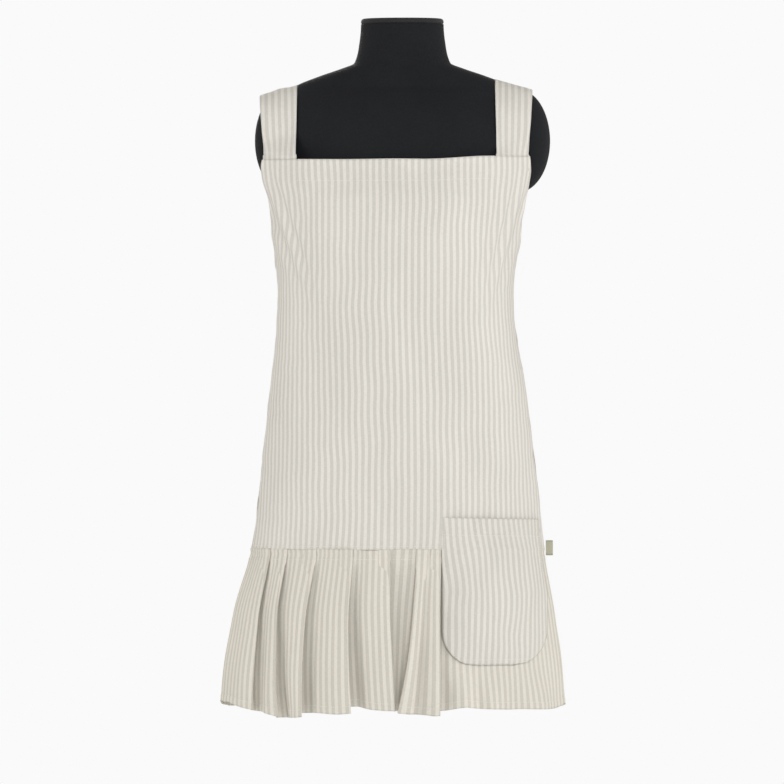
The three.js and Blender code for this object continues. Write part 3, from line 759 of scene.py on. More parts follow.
def sample(points: np.ndarray, rows: np.ndarray, columns: np.ndarray) -> np.ndarray:
    """Points of a structured grid at fractional rows and columns."""
    rows = np.clip(rows, 0, points.shape[0] - 1.001)
    columns = np.clip(columns, 0, points.shape[1] - 1.001)
    i, j = rows.astype(int), columns.astype(int)
    a, b = (rows - i)[..., None], (columns - j)[..., None]
    low = points[i, j] * (1 - b) + points[i, j + 1] * b
    high = points[i + 1, j] * (1 - b) + points[i + 1, j + 1] * b
    return low * (1 - a) + high * a


class Stitching:
    """Rows of lockstitch that lie on the cloth."""

    length: float = 0.0027
    pitch: float = 0.0036
    width: float = 0.0008

    def __init__(self, name: str) -> None:
        """Starts an empty piece of stitching."""
        self.name = name
        self.places: list[Matrix] = []

    def follow(self, line: np.ndarray, normals: np.ndarray, lift: float = 0.0002) -> None:
        """Sews along a line.

        Args:
            line: points of the line.
            normals: the cloth's outward normals there.
            lift: how far the stitches' middles stand off the cloth.
        """
        steps = np.linalg.norm(np.diff(line, axis=0), axis=1)
        run = np.concatenate([[0], np.cumsum(steps)])
        for start in np.arange(self.pitch / 2, run[-1] - self.pitch / 2, self.pitch):
            here, ahead, out = (
                Vector([np.interp(at, run, values[:, k]) for k in range(3)])
                for at, values in ((start, line), (start + 0.001, line), (start, normals))
            )
            along, up = (ahead - here).normalized(), out.normalized()
            aside = along.cross(up).normalized()
            turned = Matrix((aside, up, along)).transposed().to_4x4()
            turned.translation = here + lift * up
            self.places.append(turned @ Matrix.Diagonal((self.width, self.width * 0.8, self.length, 1)))

    def along_grid(self, points: np.ndarray, rows: np.ndarray, columns: np.ndarray) -> None:
        """Sews along fractional rows and columns of a structured grid."""
        self.follow(sample(points, rows, columns), sample(grid_normals(points), rows, columns))

    def build(self, material: bpy.types.Material) -> bpy.types.Object:
        """Makes the stitches one object."""
        one = bmesh.new()
        bmesh.ops.create_uvsphere(one, u_segments=6, v_segments=4, radius=0.5)
        for face in one.faces:
            face.smooth = True
        count = len(one.verts)
        stitch = bpy.data.meshes.new("stitch")
        one.to_mesh(stitch)
        one.free()
        row = bmesh.new()
        for _ in self.places:
            row.from_mesh(stitch)
        row.verts.ensure_lookup_table()
        for i, place in enumerate(self.places):
            for vert in row.verts[i * count : (i + 1) * count]:
                vert.co = place @ vert.co
        bpy.data.meshes.remove(stitch)
        LOG.info("%s: %d stitches", self.name, len(self.places))
        return add_piece(self.name, row, material, Body.TORSO)


# ---------------------------------------------------------------- the display torso
@dataclass
class DisplayTorso:
    """The covered form that wears the apron."""

    wardrobe: Wardrobe
    knit: float = 0.0012
    knit_thick: float = 0.0008
    neck_foot: float = 0.690
    neck_room: float = 0.0016
    neck_spread: float = 0.024
    columns: int = 144
    rows: int = 280

    def cover(self) -> bpy.types.Object:
        """The knitted cover, one sleeve from the base to the neck."""
        low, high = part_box("jersey_cover")
        z = np.linspace(low.z, high.z, self.rows + 1)[:, None]
        angle = np.linspace(-math.pi, math.pi, self.columns + 1)[None, :]
        points = FORM.ring(angle, z, 0.0)
        proud = self.knit + self.neck_room * bump(z, self.neck_foot, self.neck_spread)
        points = points + (proud + 0 * angle)[..., None] * grid_normals(points)
        points[:, -1] = points[:, 0]
        cloth = np.stack([arc_across(points), np.broadcast_to(z, points.shape[:2])], axis=-1)
        mesh = sheet_mesh(points, cloth)
        bmesh.ops.remove_doubles(mesh, verts=mesh.verts, dist=1e-5)
        piece = add_piece(
            "torso_cover", mesh, self.wardrobe.jersey, Body.TORSO, ("jersey_cover",)
        )
        thicken(piece, self.knit_thick)
        return piece

    def arm_end(self, hand: Hand) -> bpy.types.Object:
        """One stuffed arm end, full and round over its board."""
        mesh = bmesh.new()
        bmesh.ops.create_uvsphere(mesh, u_segments=96, v_segments=72, radius=1)
        sink = 0.006
        bmesh.ops.bisect_plane(
            mesh,
            geom=mesh.verts[:] + mesh.edges[:] + mesh.faces[:],
            plane_co=(-sink / FORM.pad_reach, 0, 0),
            plane_no=(1, 0, 0),
            clear_inner=True,
        )
        bmesh.ops.holes_fill(mesh, edges=[e for e in mesh.edges if e.is_boundary], sides=0)
        for vert in mesh.verts:
            x, y, z = vert.co
            round_ = math.atan2(z, y)
            base = math.exp(-((x / 0.30) ** 2))
            seam = math.exp(-(((x - 0.17) / 0.035) ** 2))
            pucker = 0.5 + 0.3 * math.sin(29 * round_) + 0.2 * math.sin(47 * round_ + 1.3)
            slack = 0.010 * math.sin(3 * round_ + 4 * x) * (1 - x)
            girth = 1 - 0.030 * seam - 0.016 * base * pucker + slack * (1 - base)
            vert.co = (
                hand.value * (FORM.pad_x + FORM.pad_reach * x),
                FORM.pad_depth * y * girth,
                FORM.pad_z + FORM.pad_height * z * girth,
            )
        bmesh.ops.recalc_face_normals(mesh, faces=mesh.faces)
        for face in mesh.faces:
            face.smooth = len(face.verts) < 5
        side = hand.name.lower()
        replaced = (f"arm_pad_{side}",)
        piece = add_piece(
            f"arm_end_{side}", mesh, self.wardrobe.jersey, Body.TORSO, replaced
        )
        return piece

    def cap(self) -> bpy.types.Object:
        """The covered disc in the neck's top, with its dowel."""
        low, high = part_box("neck_cap")
        half = (high.x - low.x) / 2
        edge = 0.003
        thick = 0.0074
        levels = [
            (0.96, 0.0),
            (1.0, edge * 0.5),
            (1.0, thick - edge),
            (0.985, thick - edge * 0.4),
            (0.955, thick),
        ]
        mesh = bmesh.new()
        ring = bmesh.ops.create_circle(mesh, segments=96, radius=1.0)["verts"]
        base = high.z - thick
        centre = Vector(((low.x + high.x) / 2, (low.y + high.y) / 2, 0))
        angles = [math.atan2(v.co.y, v.co.x) for v in ring]

        def place(verts: list, share: float, rise: float) -> None:
            """Sets a ring of the disc to its superellipse."""
            depth = (high.y - low.y) / 2
            for vert, angle in zip(verts, angles):
                vert.co = centre + Vector(
                    (
                        share * half * float(signed_power(np.cos(angle), 2 / FORM.roundness)),
                        share * depth * float(signed_power(np.sin(angle), 2 / FORM.roundness)),
                        base + rise,
                    )
                )

        place(ring, *levels[0])
        edges = list({e for v in ring for e in v.link_edges})
        first = edges
        for share, rise in levels[1:]:
            grown = bmesh.ops.extrude_edge_only(mesh, edges=edges)["geom"]
            verts = [g for g in grown if isinstance(g, bmesh.types.BMVert)]
            edges = [g for g in grown if isinstance(g, bmesh.types.BMEdge)]
            mesh.verts.index_update()
            order = {}
            for vert in verts:
                turn = min(vert.link_edges, key=lambda e: 0 if e.other_vert(vert) not in verts else 1)
                order[turn.other_vert(vert)] = vert
            ring = [order[v] for v in ring]
            place(ring, share, rise)
        bmesh.ops.holes_fill(mesh, edges=first, sides=0)
        bmesh.ops.holes_fill(mesh, edges=edges, sides=0)
        bmesh.ops.recalc_face_normals(mesh, faces=mesh.faces)
        dowel_top = base + 0.0005
        bmesh.ops.create_cone(
            mesh,
            cap_ends=True,
            segments=32,
            radius1=0.0094,
            radius2=0.01,
            depth=dowel_top - low.z,
            matrix=Matrix.Translation((centre.x, centre.y, (dowel_top + low.z) / 2)),
        )
        for face in mesh.faces:
            face.smooth = len(face.verts) < 5
        return add_piece("neck_cap_cover", mesh, self.wardrobe.cap, Body.CAP, ("neck_cap",))

    def dress_boards(self) -> None:
        """Gives the shells, boards and fittings under the cover their finishes."""
        finishes = {
            "torso_shell_front": self.wardrobe.shell,
            "torso_shell_back": self.wardrobe.shell,
            "arm_plate_right": self.wardrobe.ply,
            "arm_plate_left": self.wardrobe.ply,
            "neck_block": self.wardrobe.ply,
            "base_board": self.wardrobe.ply,
            "socket_plate": self.wardrobe.steel,
            "stand_socket": self.wardrobe.steel,
            "clamp_screw": self.wardrobe.knob,
        }
        finishes.update({f"plate_screw_{i}": self.wardrobe.screw for i in range(1, 5)})
        for name, material in finishes.items():
            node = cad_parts[name]
            if not node.material_slots:
                node.data.materials.append(material)
            for slot in node.material_slots:
                slot.material = material
            LOG.info("%s: finish %s", name, material.name)

    def build(self) -> None:
        """Builds the torso."""
        self.cover()
        for hand in Hand:
            self.arm_end(hand)
        self.cap()
        self.dress_boards()


# ---------------------------------------------------------------- the apron's body
@dataclass
class Bodice:
    """The front with its bib, and the two lapped backs, from the frill seam up."""

    wardrobe: Wardrobe
    stitches: Stitching
    columns: int = 170
    rows: int = 180
    hem_depth: float = 0.0315
    edge_hem: float = 0.006
    strap_inset: float = 0.139

    @staticmethod
    def crease_field(x: np.ndarray, z: np.ndarray) -> tuple[np.ndarray, np.ndarray]:
        """The drag lines that run from the armholes down and inwards.

        Args:
            x: sideways places.
            z: heights.

        Returns:
            How far outward they stand, and how far sideways they carry the cloth.
        """
        out = np.zeros(np.broadcast(x, z).shape)
        aside = np.zeros_like(out)
        for hand, lean, pace in ((Hand.RIGHT, 0.42, 0.0175), (Hand.LEFT, 0.30, 0.0165)):
            across, up = hand.value * (x - APRON.middle(z)) - 0.168, z - 0.500
            length = math.hypot(lean, 1)
            along = (across * lean + up) / length
            over = (across - up * lean) / length
            field = bump(along, -0.03, 0.075) * bump(over, 0.0, 0.022)
            wave = np.cos(2 * math.pi * over / pace + 14 * along)
            out += 0.0014 * field * wave
            aside += -hand.value * 0.0022 * field * np.sin(2 * math.pi * over / pace + 14 * along)
        return out, aside

    @staticmethod
    def top_drop(x: np.ndarray, z: np.ndarray) -> np.ndarray:
        """How the bib's top sags between the straps, as a change of height."""
        top = smooth((z - 0.5) / 0.07)
        return top * (0.0010 * ripple(x, 0 * z, 0.09, 14) - 0.0045 * (1 - smooth((x - 0.02) / 0.15)))

    def front(self) -> None:
        """The front panel, cut in one with the bib."""
        z = np.linspace(APRON.seam, APRON.bib_top, self.rows + 1)[:, None]
        edge = np.arcsin(APRON.armhole_share(z))
        turn = np.linspace(-1, 1, self.columns + 1)[None, :] * edge
        base = APRON.point(turn, z, Face.FRONT)
        x = base[..., 0]
        arc = arc_across(base)
        arc -= arc[:, self.columns // 2][:, None]
        drag, aside = self.crease_field(x, z)
        fall = smooth((0.30 - z) / 0.26)
        out = APRON.proud + drag * (1 - smooth((z - 0.540) / 0.025))
        out = out + 0.0016 * fall * ripple(x, 0.18 * z, 0.085, 11)
        out = out + 0.0007 * ripple(x, z, 0.06, 12) + 0.0004 * ripple(x, z, 0.026, 13)
        rim = (edge - np.abs(turn)) * APRON.half(z)
        above = smooth((z - APRON.armhole + 0.01) / 0.02)
        doubled = 0.0006 * smooth((self.edge_hem - rim) / 0.0012)
        out = out + above * (doubled - 0.0004 * bump(rim, self.edge_hem, 0.0012))
        hem_z = APRON.bib_top - self.hem_depth
        between = smooth((self.strap_inset + 0.002 - np.abs(x - APRON.middle(z))) / 0.003)
        out = out + between * (0.0006 * smooth((z - hem_z) / 0.0015) - 0.0006 * bump(z, hem_z, 0.0013))
        out = out - 0.0003 * (1 - between) * smooth((z - hem_z) / 0.02)
        low = bump(z, APRON.seam, 0.008)
        ridge = 0.0012 * bump(z, APRON.seam + 0.001, 0.0022)
        out = out + ridge + 0.0006 * low * ripple(x, 0.2 * z, 0.010, 16)
        points = APRON.point(turn, z, Face.FRONT, out)
        points[..., 0] += aside
        points[..., 2] += self.top_drop(x, z)
        lie = 0.0006 * ripple(x, z, 0.09, 15)
        cloth = np.stack([arc + lie, np.broadcast_to(z, arc.shape)], axis=-1)
        ClothPiece("front_cloth", points, cloth, ("front_panel",), "draped", ("torso_cover",)).build(
            self.wardrobe.ticking
        )
        row = self.rows * (hem_z - APRON.seam) / (APRON.bib_top - APRON.seam)
        lanes = np.linspace(0, self.columns, 400)
        across = sample(points, np.full(400, row), lanes)[:, 0] - float(APRON.middle(hem_z))
        lanes = lanes[np.abs(across) < self.strap_inset + 0.004]
        self.stitches.along_grid(points, np.full(len(lanes), row), lanes)
        lanes = np.linspace(0, self.columns, 500)
        for level in (0.0013, 0.0045):
            row = self.rows * level / (APRON.bib_top - APRON.seam)
            self.stitches.along_grid(points, np.full(500, row), lanes)
        first = self.rows * (APRON.armhole - 0.01 - APRON.seam) / (APRON.bib_top - APRON.seam)
        climb = np.linspace(first, self.rows, 160)
        widths = np.interp(climb, np.arange(self.rows + 1), (edge * APRON.half(z))[:, 0])
        inner = self.edge_hem * (self.columns / 2) / widths
        for lane in (inner, self.columns - inner):
            self.stitches.along_grid(points, climb, lane)

    def bib_hem(self) -> None:
        """The turned hem behind the bib's top edge."""
        z = np.linspace(APRON.bib_top - 0.02, APRON.bib_top + 0.0004, 9)[:, None]
        reach = (self.strap_inset - 0.001) / APRON.half(z)
        turn = np.linspace(-1, 1, 91)[None, :] * np.arcsin(reach)
        points = APRON.point(turn, z, Face.FRONT, -0.0005)
        points[..., 2] += self.top_drop(points[..., 0], z)
        arc = arc_across(points)
        cloth = np.stack([arc, np.broadcast_to(z, arc.shape)], axis=-1)
        ClothPiece("bib_turning", points, cloth, ("bib_hem",), "folded", ("front_cloth",)).build(
            self.wardrobe.ticking
        )

    def back(self, hand: Hand) -> None:
        """One back panel, from the side seam to past the middle."""
        ends = (1.0, -APRON.lap) if hand is Hand.LEFT else (APRON.lap, -1.0)
        turn = np.linspace(math.asin(ends[0]), math.asin(ends[1]), 101)[None, :]
        level = np.linspace(0, 1, 131)[:, None]
        top = APRON.armhole + APRON.back_rise * (1 - np.abs(np.sin(turn)))
        z = APRON.seam + level * (top - APRON.seam)
        base = APRON.point(turn, z, Face.BACK)
        arc = arc_across(base)
        arc -= arc[:, -1:] if hand is Hand.LEFT else 0
        x = base[..., 0]
        out = APRON.proud + APRON.lap_tuck(turn, hand) + 0 * z
        fall = smooth((0.28 - z) / 0.24)
        out = out + 0.0016 * fall * ripple(x, 0.2 * z, 0.09, 21) + 0.0006 * ripple(x, z, 0.05, 22)
        out = out + 0.0006 * smooth((z - top + 0.012) / 0.0012) - 0.0004 * bump(z, top - 0.012, 0.0012)
        out = out + 0.0012 * bump(z, APRON.seam + 0.001, 0.0022)
        if hand is Hand.LEFT:
            out = out + 0.0005 * smooth((np.sin(turn) < -0.09) * 1.0)
        points = APRON.point(turn, z, Face.BACK, out)
        cloth = np.stack([arc, z], axis=-1)
        side = hand.name.lower()
        replaced = (f"back_panel_{side}",)
        ClothPiece(
            f"back_cloth_{side}", points, cloth, replaced, "draped", ("torso_cover",)
        ).build(self.wardrobe.ticking)
        lanes = np.linspace(0, 100, 300)
        self.stitches.along_grid(points, np.full(300, 130 * (1 - 0.012 / 0.41)), lanes)
        self.stitches.along_grid(points, np.full(300, 130 * 0.0042 / 0.41), lanes)
        if hand is Hand.LEFT:
            self.stitches.along_grid(points, np.linspace(1, 129, 300), np.full(300, 96.5))

    def build(self) -> None:
        """Builds the body of the apron."""
        self.front()
        self.bib_hem()
        for hand in Hand:
            self.back(hand)


@dataclass
class ShoulderStraps:
    """Two straps, from behind the bib over the shoulders to the opposite back panels."""

    wardrobe: Wardrobe
    stitches: Stitching
    inset: float = 0.1395
    outset: float = 0.187
    top_inset: float = 0.1375
    top_outset: float = 0.1935
    width: float = 0.051
    end_half: float = 0.096
    run_scale: float = 0.1
    clear: float = 0.0034
    tuck: float = -0.0018
    fall: float = 0.28
    columns: int = 24
    rows: int = 230

    def strap_surface(self, x: np.ndarray, run: np.ndarray, lift: np.ndarray) -> np.ndarray:
        """Points of a strap's outside by its run: 0 at the bib, half a turn behind the shoulder.

        Args:
            x: sideways places.
            run: the run, in radians about the bib's top height, then down the back.
            lift: how far the strap stands over the other one on the back.

        Returns:
            The points.
        """
        top = APRON.bib_top
        arc = np.clip(run, 0, math.pi)
        dy, dz = -np.cos(arc), np.sin(arc)
        reach = FORM.reach(x, top, dy, dz, self.clear)
        front = -APRON.point(APRON.turn_at(x, top), np.full_like(x, top), Face.FRONT, self.tuck)[..., 1]
        ridge = FORM.reach(x, top, np.zeros_like(x), np.ones_like(x), self.clear)
        chord = 1 / np.maximum(np.maximum(-dy, 0) / front + dz / ridge, 1e-6)
        reach = np.where(arc < math.pi / 2, np.maximum(reach, chord), reach)
        reach = self.stiffen(x, reach, arc) + np.where(x[:1, :1] > 0, 0.0024, 0.0014) * np.sin(arc) ** 2
        over = np.stack([x, dy * reach + np.where(arc > math.pi / 2, lift, 0), top + dz * reach], axis=-1)
        z = top - (run - math.pi) * self.run_scale
        behind = FORM.reach(x, top, np.ones_like(x), np.zeros_like(x), self.clear)
        rest = self.back_reach(x, z)
        rest = np.maximum(rest, behind - (top - z))
        turn = APRON.turn_at(x, z)
        panel = np.where(np.sin(turn) < APRON.lap, APRON.lap_tuck(turn, Hand.RIGHT), 0)
        tucked = APRON.point(turn, z, Face.BACK, panel - 0.0016)[..., 1]
        under = smooth((APRON.armhole + 0.05 - z) / 0.032)
        down = np.stack([x, (rest + lift) * (1 - under) + tucked * under, z], axis=-1)
        return np.where((run > math.pi)[..., None], down, over)

    def stiffen(self, x: np.ndarray, reach: np.ndarray, arc: np.ndarray) -> np.ndarray:
        """Keeps the strap from curling down round the shoulder's end.

        Args:
            x: sideways places, rows along the strap.
            reach: the reach that touches the form.
            arc: the run in radians.

        Returns:
            The reach with the strap's outer side held out by its own stiffness.
        """
        inner = -1 if x[0, 0] < 0 else 0
        line = reach[:, inner, None] - self.fall * np.abs(x - x[:, inner, None])
        return reach + np.sin(np.clip(arc, 0, math.pi)) ** 0.5 * np.maximum(0, line - reach)

    def back_reach(self, x: np.ndarray, z: np.ndarray) -> np.ndarray:
        """How far back the form reaches at x and z."""
        low, high = np.zeros_like(x), np.full_like(x, 0.2)
        for _ in range(14):
            middle = (low + high) / 2
            within = FORM.inside(x, middle, z, self.clear)
            low, high = np.where(within, middle, low), np.where(within, high, middle)
        return high

    def strap(self, hand: Hand) -> None:
        """One strap with its turned edges."""
        middle = float(APRON.middle(np.array(APRON.bib_top)))
        start = middle + hand.value * (self.inset + self.outset) / 2
        run_top, run_end = math.pi / 2, math.pi + (APRON.bib_top - APRON.armhole + 0.02) / self.run_scale
        travel = middle - hand.value * self.end_half - start
        run = np.linspace(0, run_end, self.rows + 1)[:, None]
        climb = smooth(run / run_top)
        top_half = (self.top_outset - self.top_inset) / 2
        base_half = (self.outset - self.inset) / 2
        beyond = smooth((run - run_top) / 0.9)
        half = base_half + (top_half - base_half) * climb + (self.width / 2 - top_half) * beyond
        w = np.linspace(-1, 1, self.columns + 1)[None, :] * half
        down = np.clip((run - run_top) / (run_end - run_top), 0, 1)
        soft = 0.2
        moved = np.where(down < soft, down**2 / (2 * soft), down - soft / 2)
        pace = np.minimum(1, down / soft) / (1 - soft / 2)
        lean = np.arctan(travel / ((run_end - run_top) * self.run_scale) * pace)
        shift = hand.value * ((self.top_inset + self.top_outset) - (self.inset + self.outset)) / 2
        centre = start + travel * moved / (1 - soft / 2) + shift * climb * (1 - beyond)
        x = centre + w * np.cos(lean)
        over = smooth((0.095 - np.abs(x - middle)) / 0.045) if hand is Hand.LEFT else 0 * x
        points = self.strap_surface(x, run - w * np.sin(lean) / self.run_scale, over * 0.0027)
        straight = soften(soften(points, 4, 0), 1.5, 1)
        points[2:-2] = straight[2:-2]
        rise = np.linspace(APRON.bib_top - 0.02, APRON.bib_top, 8)[:-1, None]
        tucked = APRON.point(
            APRON.turn_at(points[:1, :, 0], APRON.bib_top),
            np.broadcast_to(rise, (7, w.shape[1])),
            Face.FRONT,
            self.tuck,
        )
        w = np.concatenate([np.repeat(w[:1], 7, 0), w])
        half = np.concatenate([np.repeat(half[:1], 7, 0), half])
        tucked[..., 0] = points[0, :, 0]
        points = np.concatenate([tucked, points])
        steps = np.linalg.norm(np.diff(points[:, self.columns // 2], axis=0), axis=1)
        length = np.concatenate([[0], np.cumsum(steps)])[:, None]
        side = np.abs(w) - (half - 0.0055)
        out = 0.0005 * ripple(w + 0.3 * hand.value, length, 0.05, 31) - 0.0005 * bump(side, 0, 0.0011)
        out = out - 0.0006 * smooth((side - 0.0043) / 0.0012)
        seam = np.pi / 2 * 0.105 + 0.02
        out = out + 0.0007 * bump(length, seam, 0.0018) - 0.0004 * bump(length, 0.024, 0.0012)
        points = points + (out + 0 * length)[..., None] * grid_normals(points)
        lane = np.linspace(0, 1, 801)[None, :] * math.pi - math.pi / 2
        rim = APRON.point(lane, np.array([[APRON.bib_top]]), Face.FRONT)
        run_along = arc_across(rim)[0] - np.interp(0, lane[0], arc_across(rim)[0])
        base = np.interp(points[7, :, 0], rim[0, :, 0], run_along)[None, :]
        easing = smooth((length - 0.02) / 0.05)
        across = base * (1 - easing) + (base[:, self.columns // 2] + w) * easing
        across = across + 0.0005 * ripple(w, length, 0.08, 32)
        cloth = np.stack([across, np.broadcast_to(length, across.shape)], axis=-1)
        name = hand.name.lower()
        ClothPiece(
            f"strap_cloth_{name}", points, cloth, (f"strap_{name}",), "draped", ("torso_cover",), 0.0016
        ).build(self.wardrobe.ticking)
        lanes = points.shape[0] - 1
        inset = 0.0052 / self.width * self.columns
        for lane in (inset, self.columns - inset):
            self.stitches.along_grid(points, np.linspace(8, lanes - 12, 400), np.full(400, lane))
        if hand is Hand.LEFT:
            self.stitches.along_grid(points, np.full(40, 8.6), np.linspace(6, self.columns - 5, 40))

    def build(self) -> None:
        """Builds both straps."""
        for hand in Hand:
            self.strap(hand)


# ---------------------------------------------------------------- the frill
@dataclass(frozen=True)
class Fold:
    """One line of the frill from the seam to the hem, in millimetres: a fold, a crest or a valley."""

    seam_x: float
    hem_x: float
    seam_out: float
    hem_out: float
    hem_z: float = -200.0
    bow: float = 0.0


@dataclass
class Frill:
    """The pleated frill under the seam."""

    wardrobe: Wardrobe
    stitches: Stitching
    rows: int = 84
    hem_turning: float = 0.010
    pressed: float = 0.015
    fullness: float = 1.3
    cover: float = 0.0012  # how far the frill goes up behind the seam's edge
    spacing: float = 0.0026

    @staticmethod
    def front_folds() -> list[Fold]:
        """The front's lines from the wearer's right side seam to the left one.

        Each knife pleat is a crest, its visible edge and its inner fold, which lies back under
        the pleat. The pair at x 17 looks the other way, so that an open recess lies beside it.
        """
        return [
            Fold(-213, -254, 0.8, 3.0, -186),
            Fold(-205, -240, 0.8, 6.0, -190),
            Fold(-194, -219, 1.2, 11.0, -196, 3),
            Fold(-184, -204, 2.6, 8.0, -199, 6),
            Fold(-197, -214, 0.9, -2.0, -200, 5),
            Fold(-180, -199, 0.3, -2.0, -201, 4),
            Fold(-174, -190, 0.8, 6.0, -203, 2),
            Fold(-168, -178, 1.4, 11.0, -205),
            Fold(-161, -167, 2.6, 10.0, -209),
            Fold(-174, -179, 0.9, -2.0, -209),
            Fold(-157, -163, 0.3, -3.0, -209.5),
            Fold(-147, -155, 0.8, 6.5, -209.5),
            Fold(-131, -146, 1.3, 12.0, -208.5),
            Fold(-119, -136, 2.8, 10.0, -207.5),
            Fold(-139, -152, 0.9, -4.0, -203),
            Fold(-115, -131, 0.3, -5.5, -202.5),
            Fold(-104, -114, 0.8, 5.5, -202.4),
            Fold(-84, -88, 1.4, 13.0, -202.4),
            Fold(-68.6, -69, 2.8, 11.0, -202),
            Fold(-89, -86, 0.9, -5.0, -193),
            Fold(-64, -64, 0.3, -7.0, -193),
            Fold(-53, -49, 0.8, 4.5, -196),
            Fold(-31, -26, 1.4, 11.0, -199.5),
            Fold(-17, -9, 2.8, 9.0, -200, 1),
            Fold(-36, -24, 0.9, -6.0, -199),
            Fold(0, -11, 0.0, -8.0, -200),
            Fold(36, 2, 0.9, -6.0, -201, 6),
            Fold(17.6, -11, 2.8, 12.0, -202.4, 6),
            Fold(23, -2, 1.6, 15.0, -202.4, 4),
            Fold(28, 8, 1.2, 10.0, -202.8, 3),
            Fold(33, 17, 0.8, 0.0, -203, 2),
            Fold(39, 27, 1.0, 7.0, -204, 1),
            Fold(45, 39, 1.6, 13.0, -205.5),
            Fold(53, 51.5, 2.8, 10.0, -205),
            Fold(37, 37, 0.9, -4.0, -199),
            Fold(58, 57, 0.3, -4.0, -198.5),
            Fold(66, 68, 0.3, 3.0, -197),
            Fold(80, 86, 0.3, 8.5, -195.4),
            Fold(95, 104, 0.3, 0.0, -196.5),
            Fold(110, 120, 0.3, 8.0, -197.4),
            Fold(138, 154, 0.3, -0.5, -198.5),
            Fold(168, 189, 0.3, 8.0, -199.5),
            Fold(184, 208, 0.5, 1.0, -199.8),
            Fold(197, 226, 0.8, 1.0, -193),
        ]

    @staticmethod
    def back_folds(hand: Hand) -> list[Fold]:
        """One back's lines, from the wearer's left towards the right."""
        draw = np.random.RandomState(40 + hand.value)
        side = hand.value
        half, hem_half, middle, hem_middle = (205, 240, -8, -14)
        end_out = 1.0 if hand is Hand.LEFT else 3.0
        end_z = -193 if hand is Hand.LEFT else -186
        folds = [Fold(middle + side * half, hem_middle + side * hem_half, 0.8, end_out, end_z)]
        for place in np.linspace(0.86, 0.06, 6):
            seam = middle + side * half * place + draw.uniform(-3, 3)
            hem = hem_middle + side * hem_half * (place + 0.01) + draw.uniform(-4, 4)
            level = -200 + draw.uniform(-4, 3)
            rise = 11 + draw.uniform(-2, 2)
            folds += [
                Fold(seam + side * 12, hem + side * 14, 1.3, rise + 1, level),
                Fold(seam, hem, 2.8, rise, level),
                Fold(seam + side * 15, hem + side * 12, 0.9, -4.0, level + 3),
                Fold(seam - side * 5, hem - side * 5, 0.3, -5.0, level + 3),
                Fold(seam - side * 11, hem - side * 16, 0.6, 5.0, level + 1),
            ]
        folds.append(Fold(middle - side * 33, hem_middle - side * 38, 0.6, 2.0, -199))
        return folds if hand is Hand.LEFT else folds[::-1]

    def surface(self, folds: list[Fold], face: Face, hand: Hand) -> tuple[np.ndarray, np.ndarray]:
        """The frill's points over its fold lines.

        Args:
            folds: the lines in the order that the cloth runs.
            face: the front or the back.
            hand: the side of a back piece.

        Returns:
            The points and the cloth map.
        """
        fall = np.linspace(1, 0, self.rows + 1)[:, None]  # the hem is the first row
        seam_x, hem_x, seam_out, hem_out, hem_z, bow = (
            np.array([getattr(f, key) for f in folds]) * MM
            for key in ("seam_x", "hem_x", "seam_out", "hem_out", "hem_z", "bow")
        )
        hem_out[1:-1] *= self.fullness
        turns = np.stack([APRON.turn_at(seam_x, APRON.seam), APRON.turn_at(hem_x, APRON.hem)])
        ends = (-1, 1) if face is Face.FRONT else (hand.value,)
        for sign in ends:
            turns[:, 0 if sign * (1 if face is Face.FRONT else -1) < 0 else -1] = sign * math.pi / 2
        line = APRON.point(turns[1], np.full(len(folds), APRON.hem), face, hem_out)
        gaps = np.linalg.norm(np.diff(line, axis=0), axis=1)
        counts = np.maximum(3, (gaps / self.spacing).astype(int) + 1)
        at = np.concatenate([[0.0]] + [i + np.arange(1, n + 1) / n for i, n in enumerate(counts)])
        marks = np.arange(len(folds))
        bowed = np.interp(at, marks, bow / APRON.half(-0.09))
        turn = np.interp(at, marks, turns[0]) * (1 - fall) + np.interp(at, marks, turns[1]) * fall
        turn = np.clip(turn + bowed * 4 * fall * (1 - fall), -math.pi / 2, math.pi / 2)
        hem = np.interp(at, marks, hem_z)[None, :] + 0.0008 * ripple(turn[:1] * 0.22, 0 * turn[:1], 0.05, 51)
        top = APRON.seam + self.cover
        z = top + (hem - top) * fall
        below = np.clip((APRON.seam - self.pressed - z) / (APRON.seam - self.pressed - hem), 0, 1)
        x = APRON.middle(z) + APRON.half(z) * np.sin(turn)
        front_pocket = smooth((x - 0.055) / 0.01) if face is Face.FRONT else 0 * x
        late = smooth((below - 0.70) / 0.30)
        opened = below**0.85 * smooth((below + 0.03) / 0.13) * (1 - front_pocket) + late * front_pocket
        pressed = 0.5 + 0.5 * smooth(below / 0.04)
        out = pressed * np.interp(at, marks, seam_out) * (1 - opened) + np.interp(at, marks, hem_out) * opened
        share = smooth(below / 0.5)
        for values in (turn, out):
            crisp, relaxed = soften(values, 0.6, 1), soften(values, 1.7, 1)
            values[:, 1:-1] = (crisp * (1 - share) + relaxed * share)[:, 1:-1]
        free = below * (1 - 0.7 * front_pocket * (1 - late))
        out = out + 0.0010 * free * ripple(x, 0.6 * z, 0.055, 52)
        out = out + 0.0012 * free * ripple(x, 0.3 * z, 0.03, 53)
        if face is Face.BACK:
            out = out + APRON.lap_tuck(turn, hand)
        out = out + 0.0010 * bump(z, APRON.seam - 0.0015, 0.0022)
        out = out + 0.0008 * bump(z, APRON.seam - self.pressed, 0.003)
        out = out + (0.0021 - out) * bump(z, APRON.seam, 0.0035) * (out < 0.0021)
        gather = bump(z, APRON.seam - 0.006, 0.010) * (1 - front_pocket)
        out = out + 0.0006 * gather * ripple(x, 0.2 * z, 0.010, 16)
        rise = z - hem
        out = out + 0.0005 * smooth((self.hem_turning - rise) / 0.0012)
        out = out - 0.0003 * bump(rise, self.hem_turning, 0.0012)
        points = APRON.point(turn, z, face, out)
        arc = arc_across(points[self.rows // 2 : self.rows // 2 + 1])
        return points, np.stack([np.broadcast_to(arc, turn.shape), z], axis=-1)

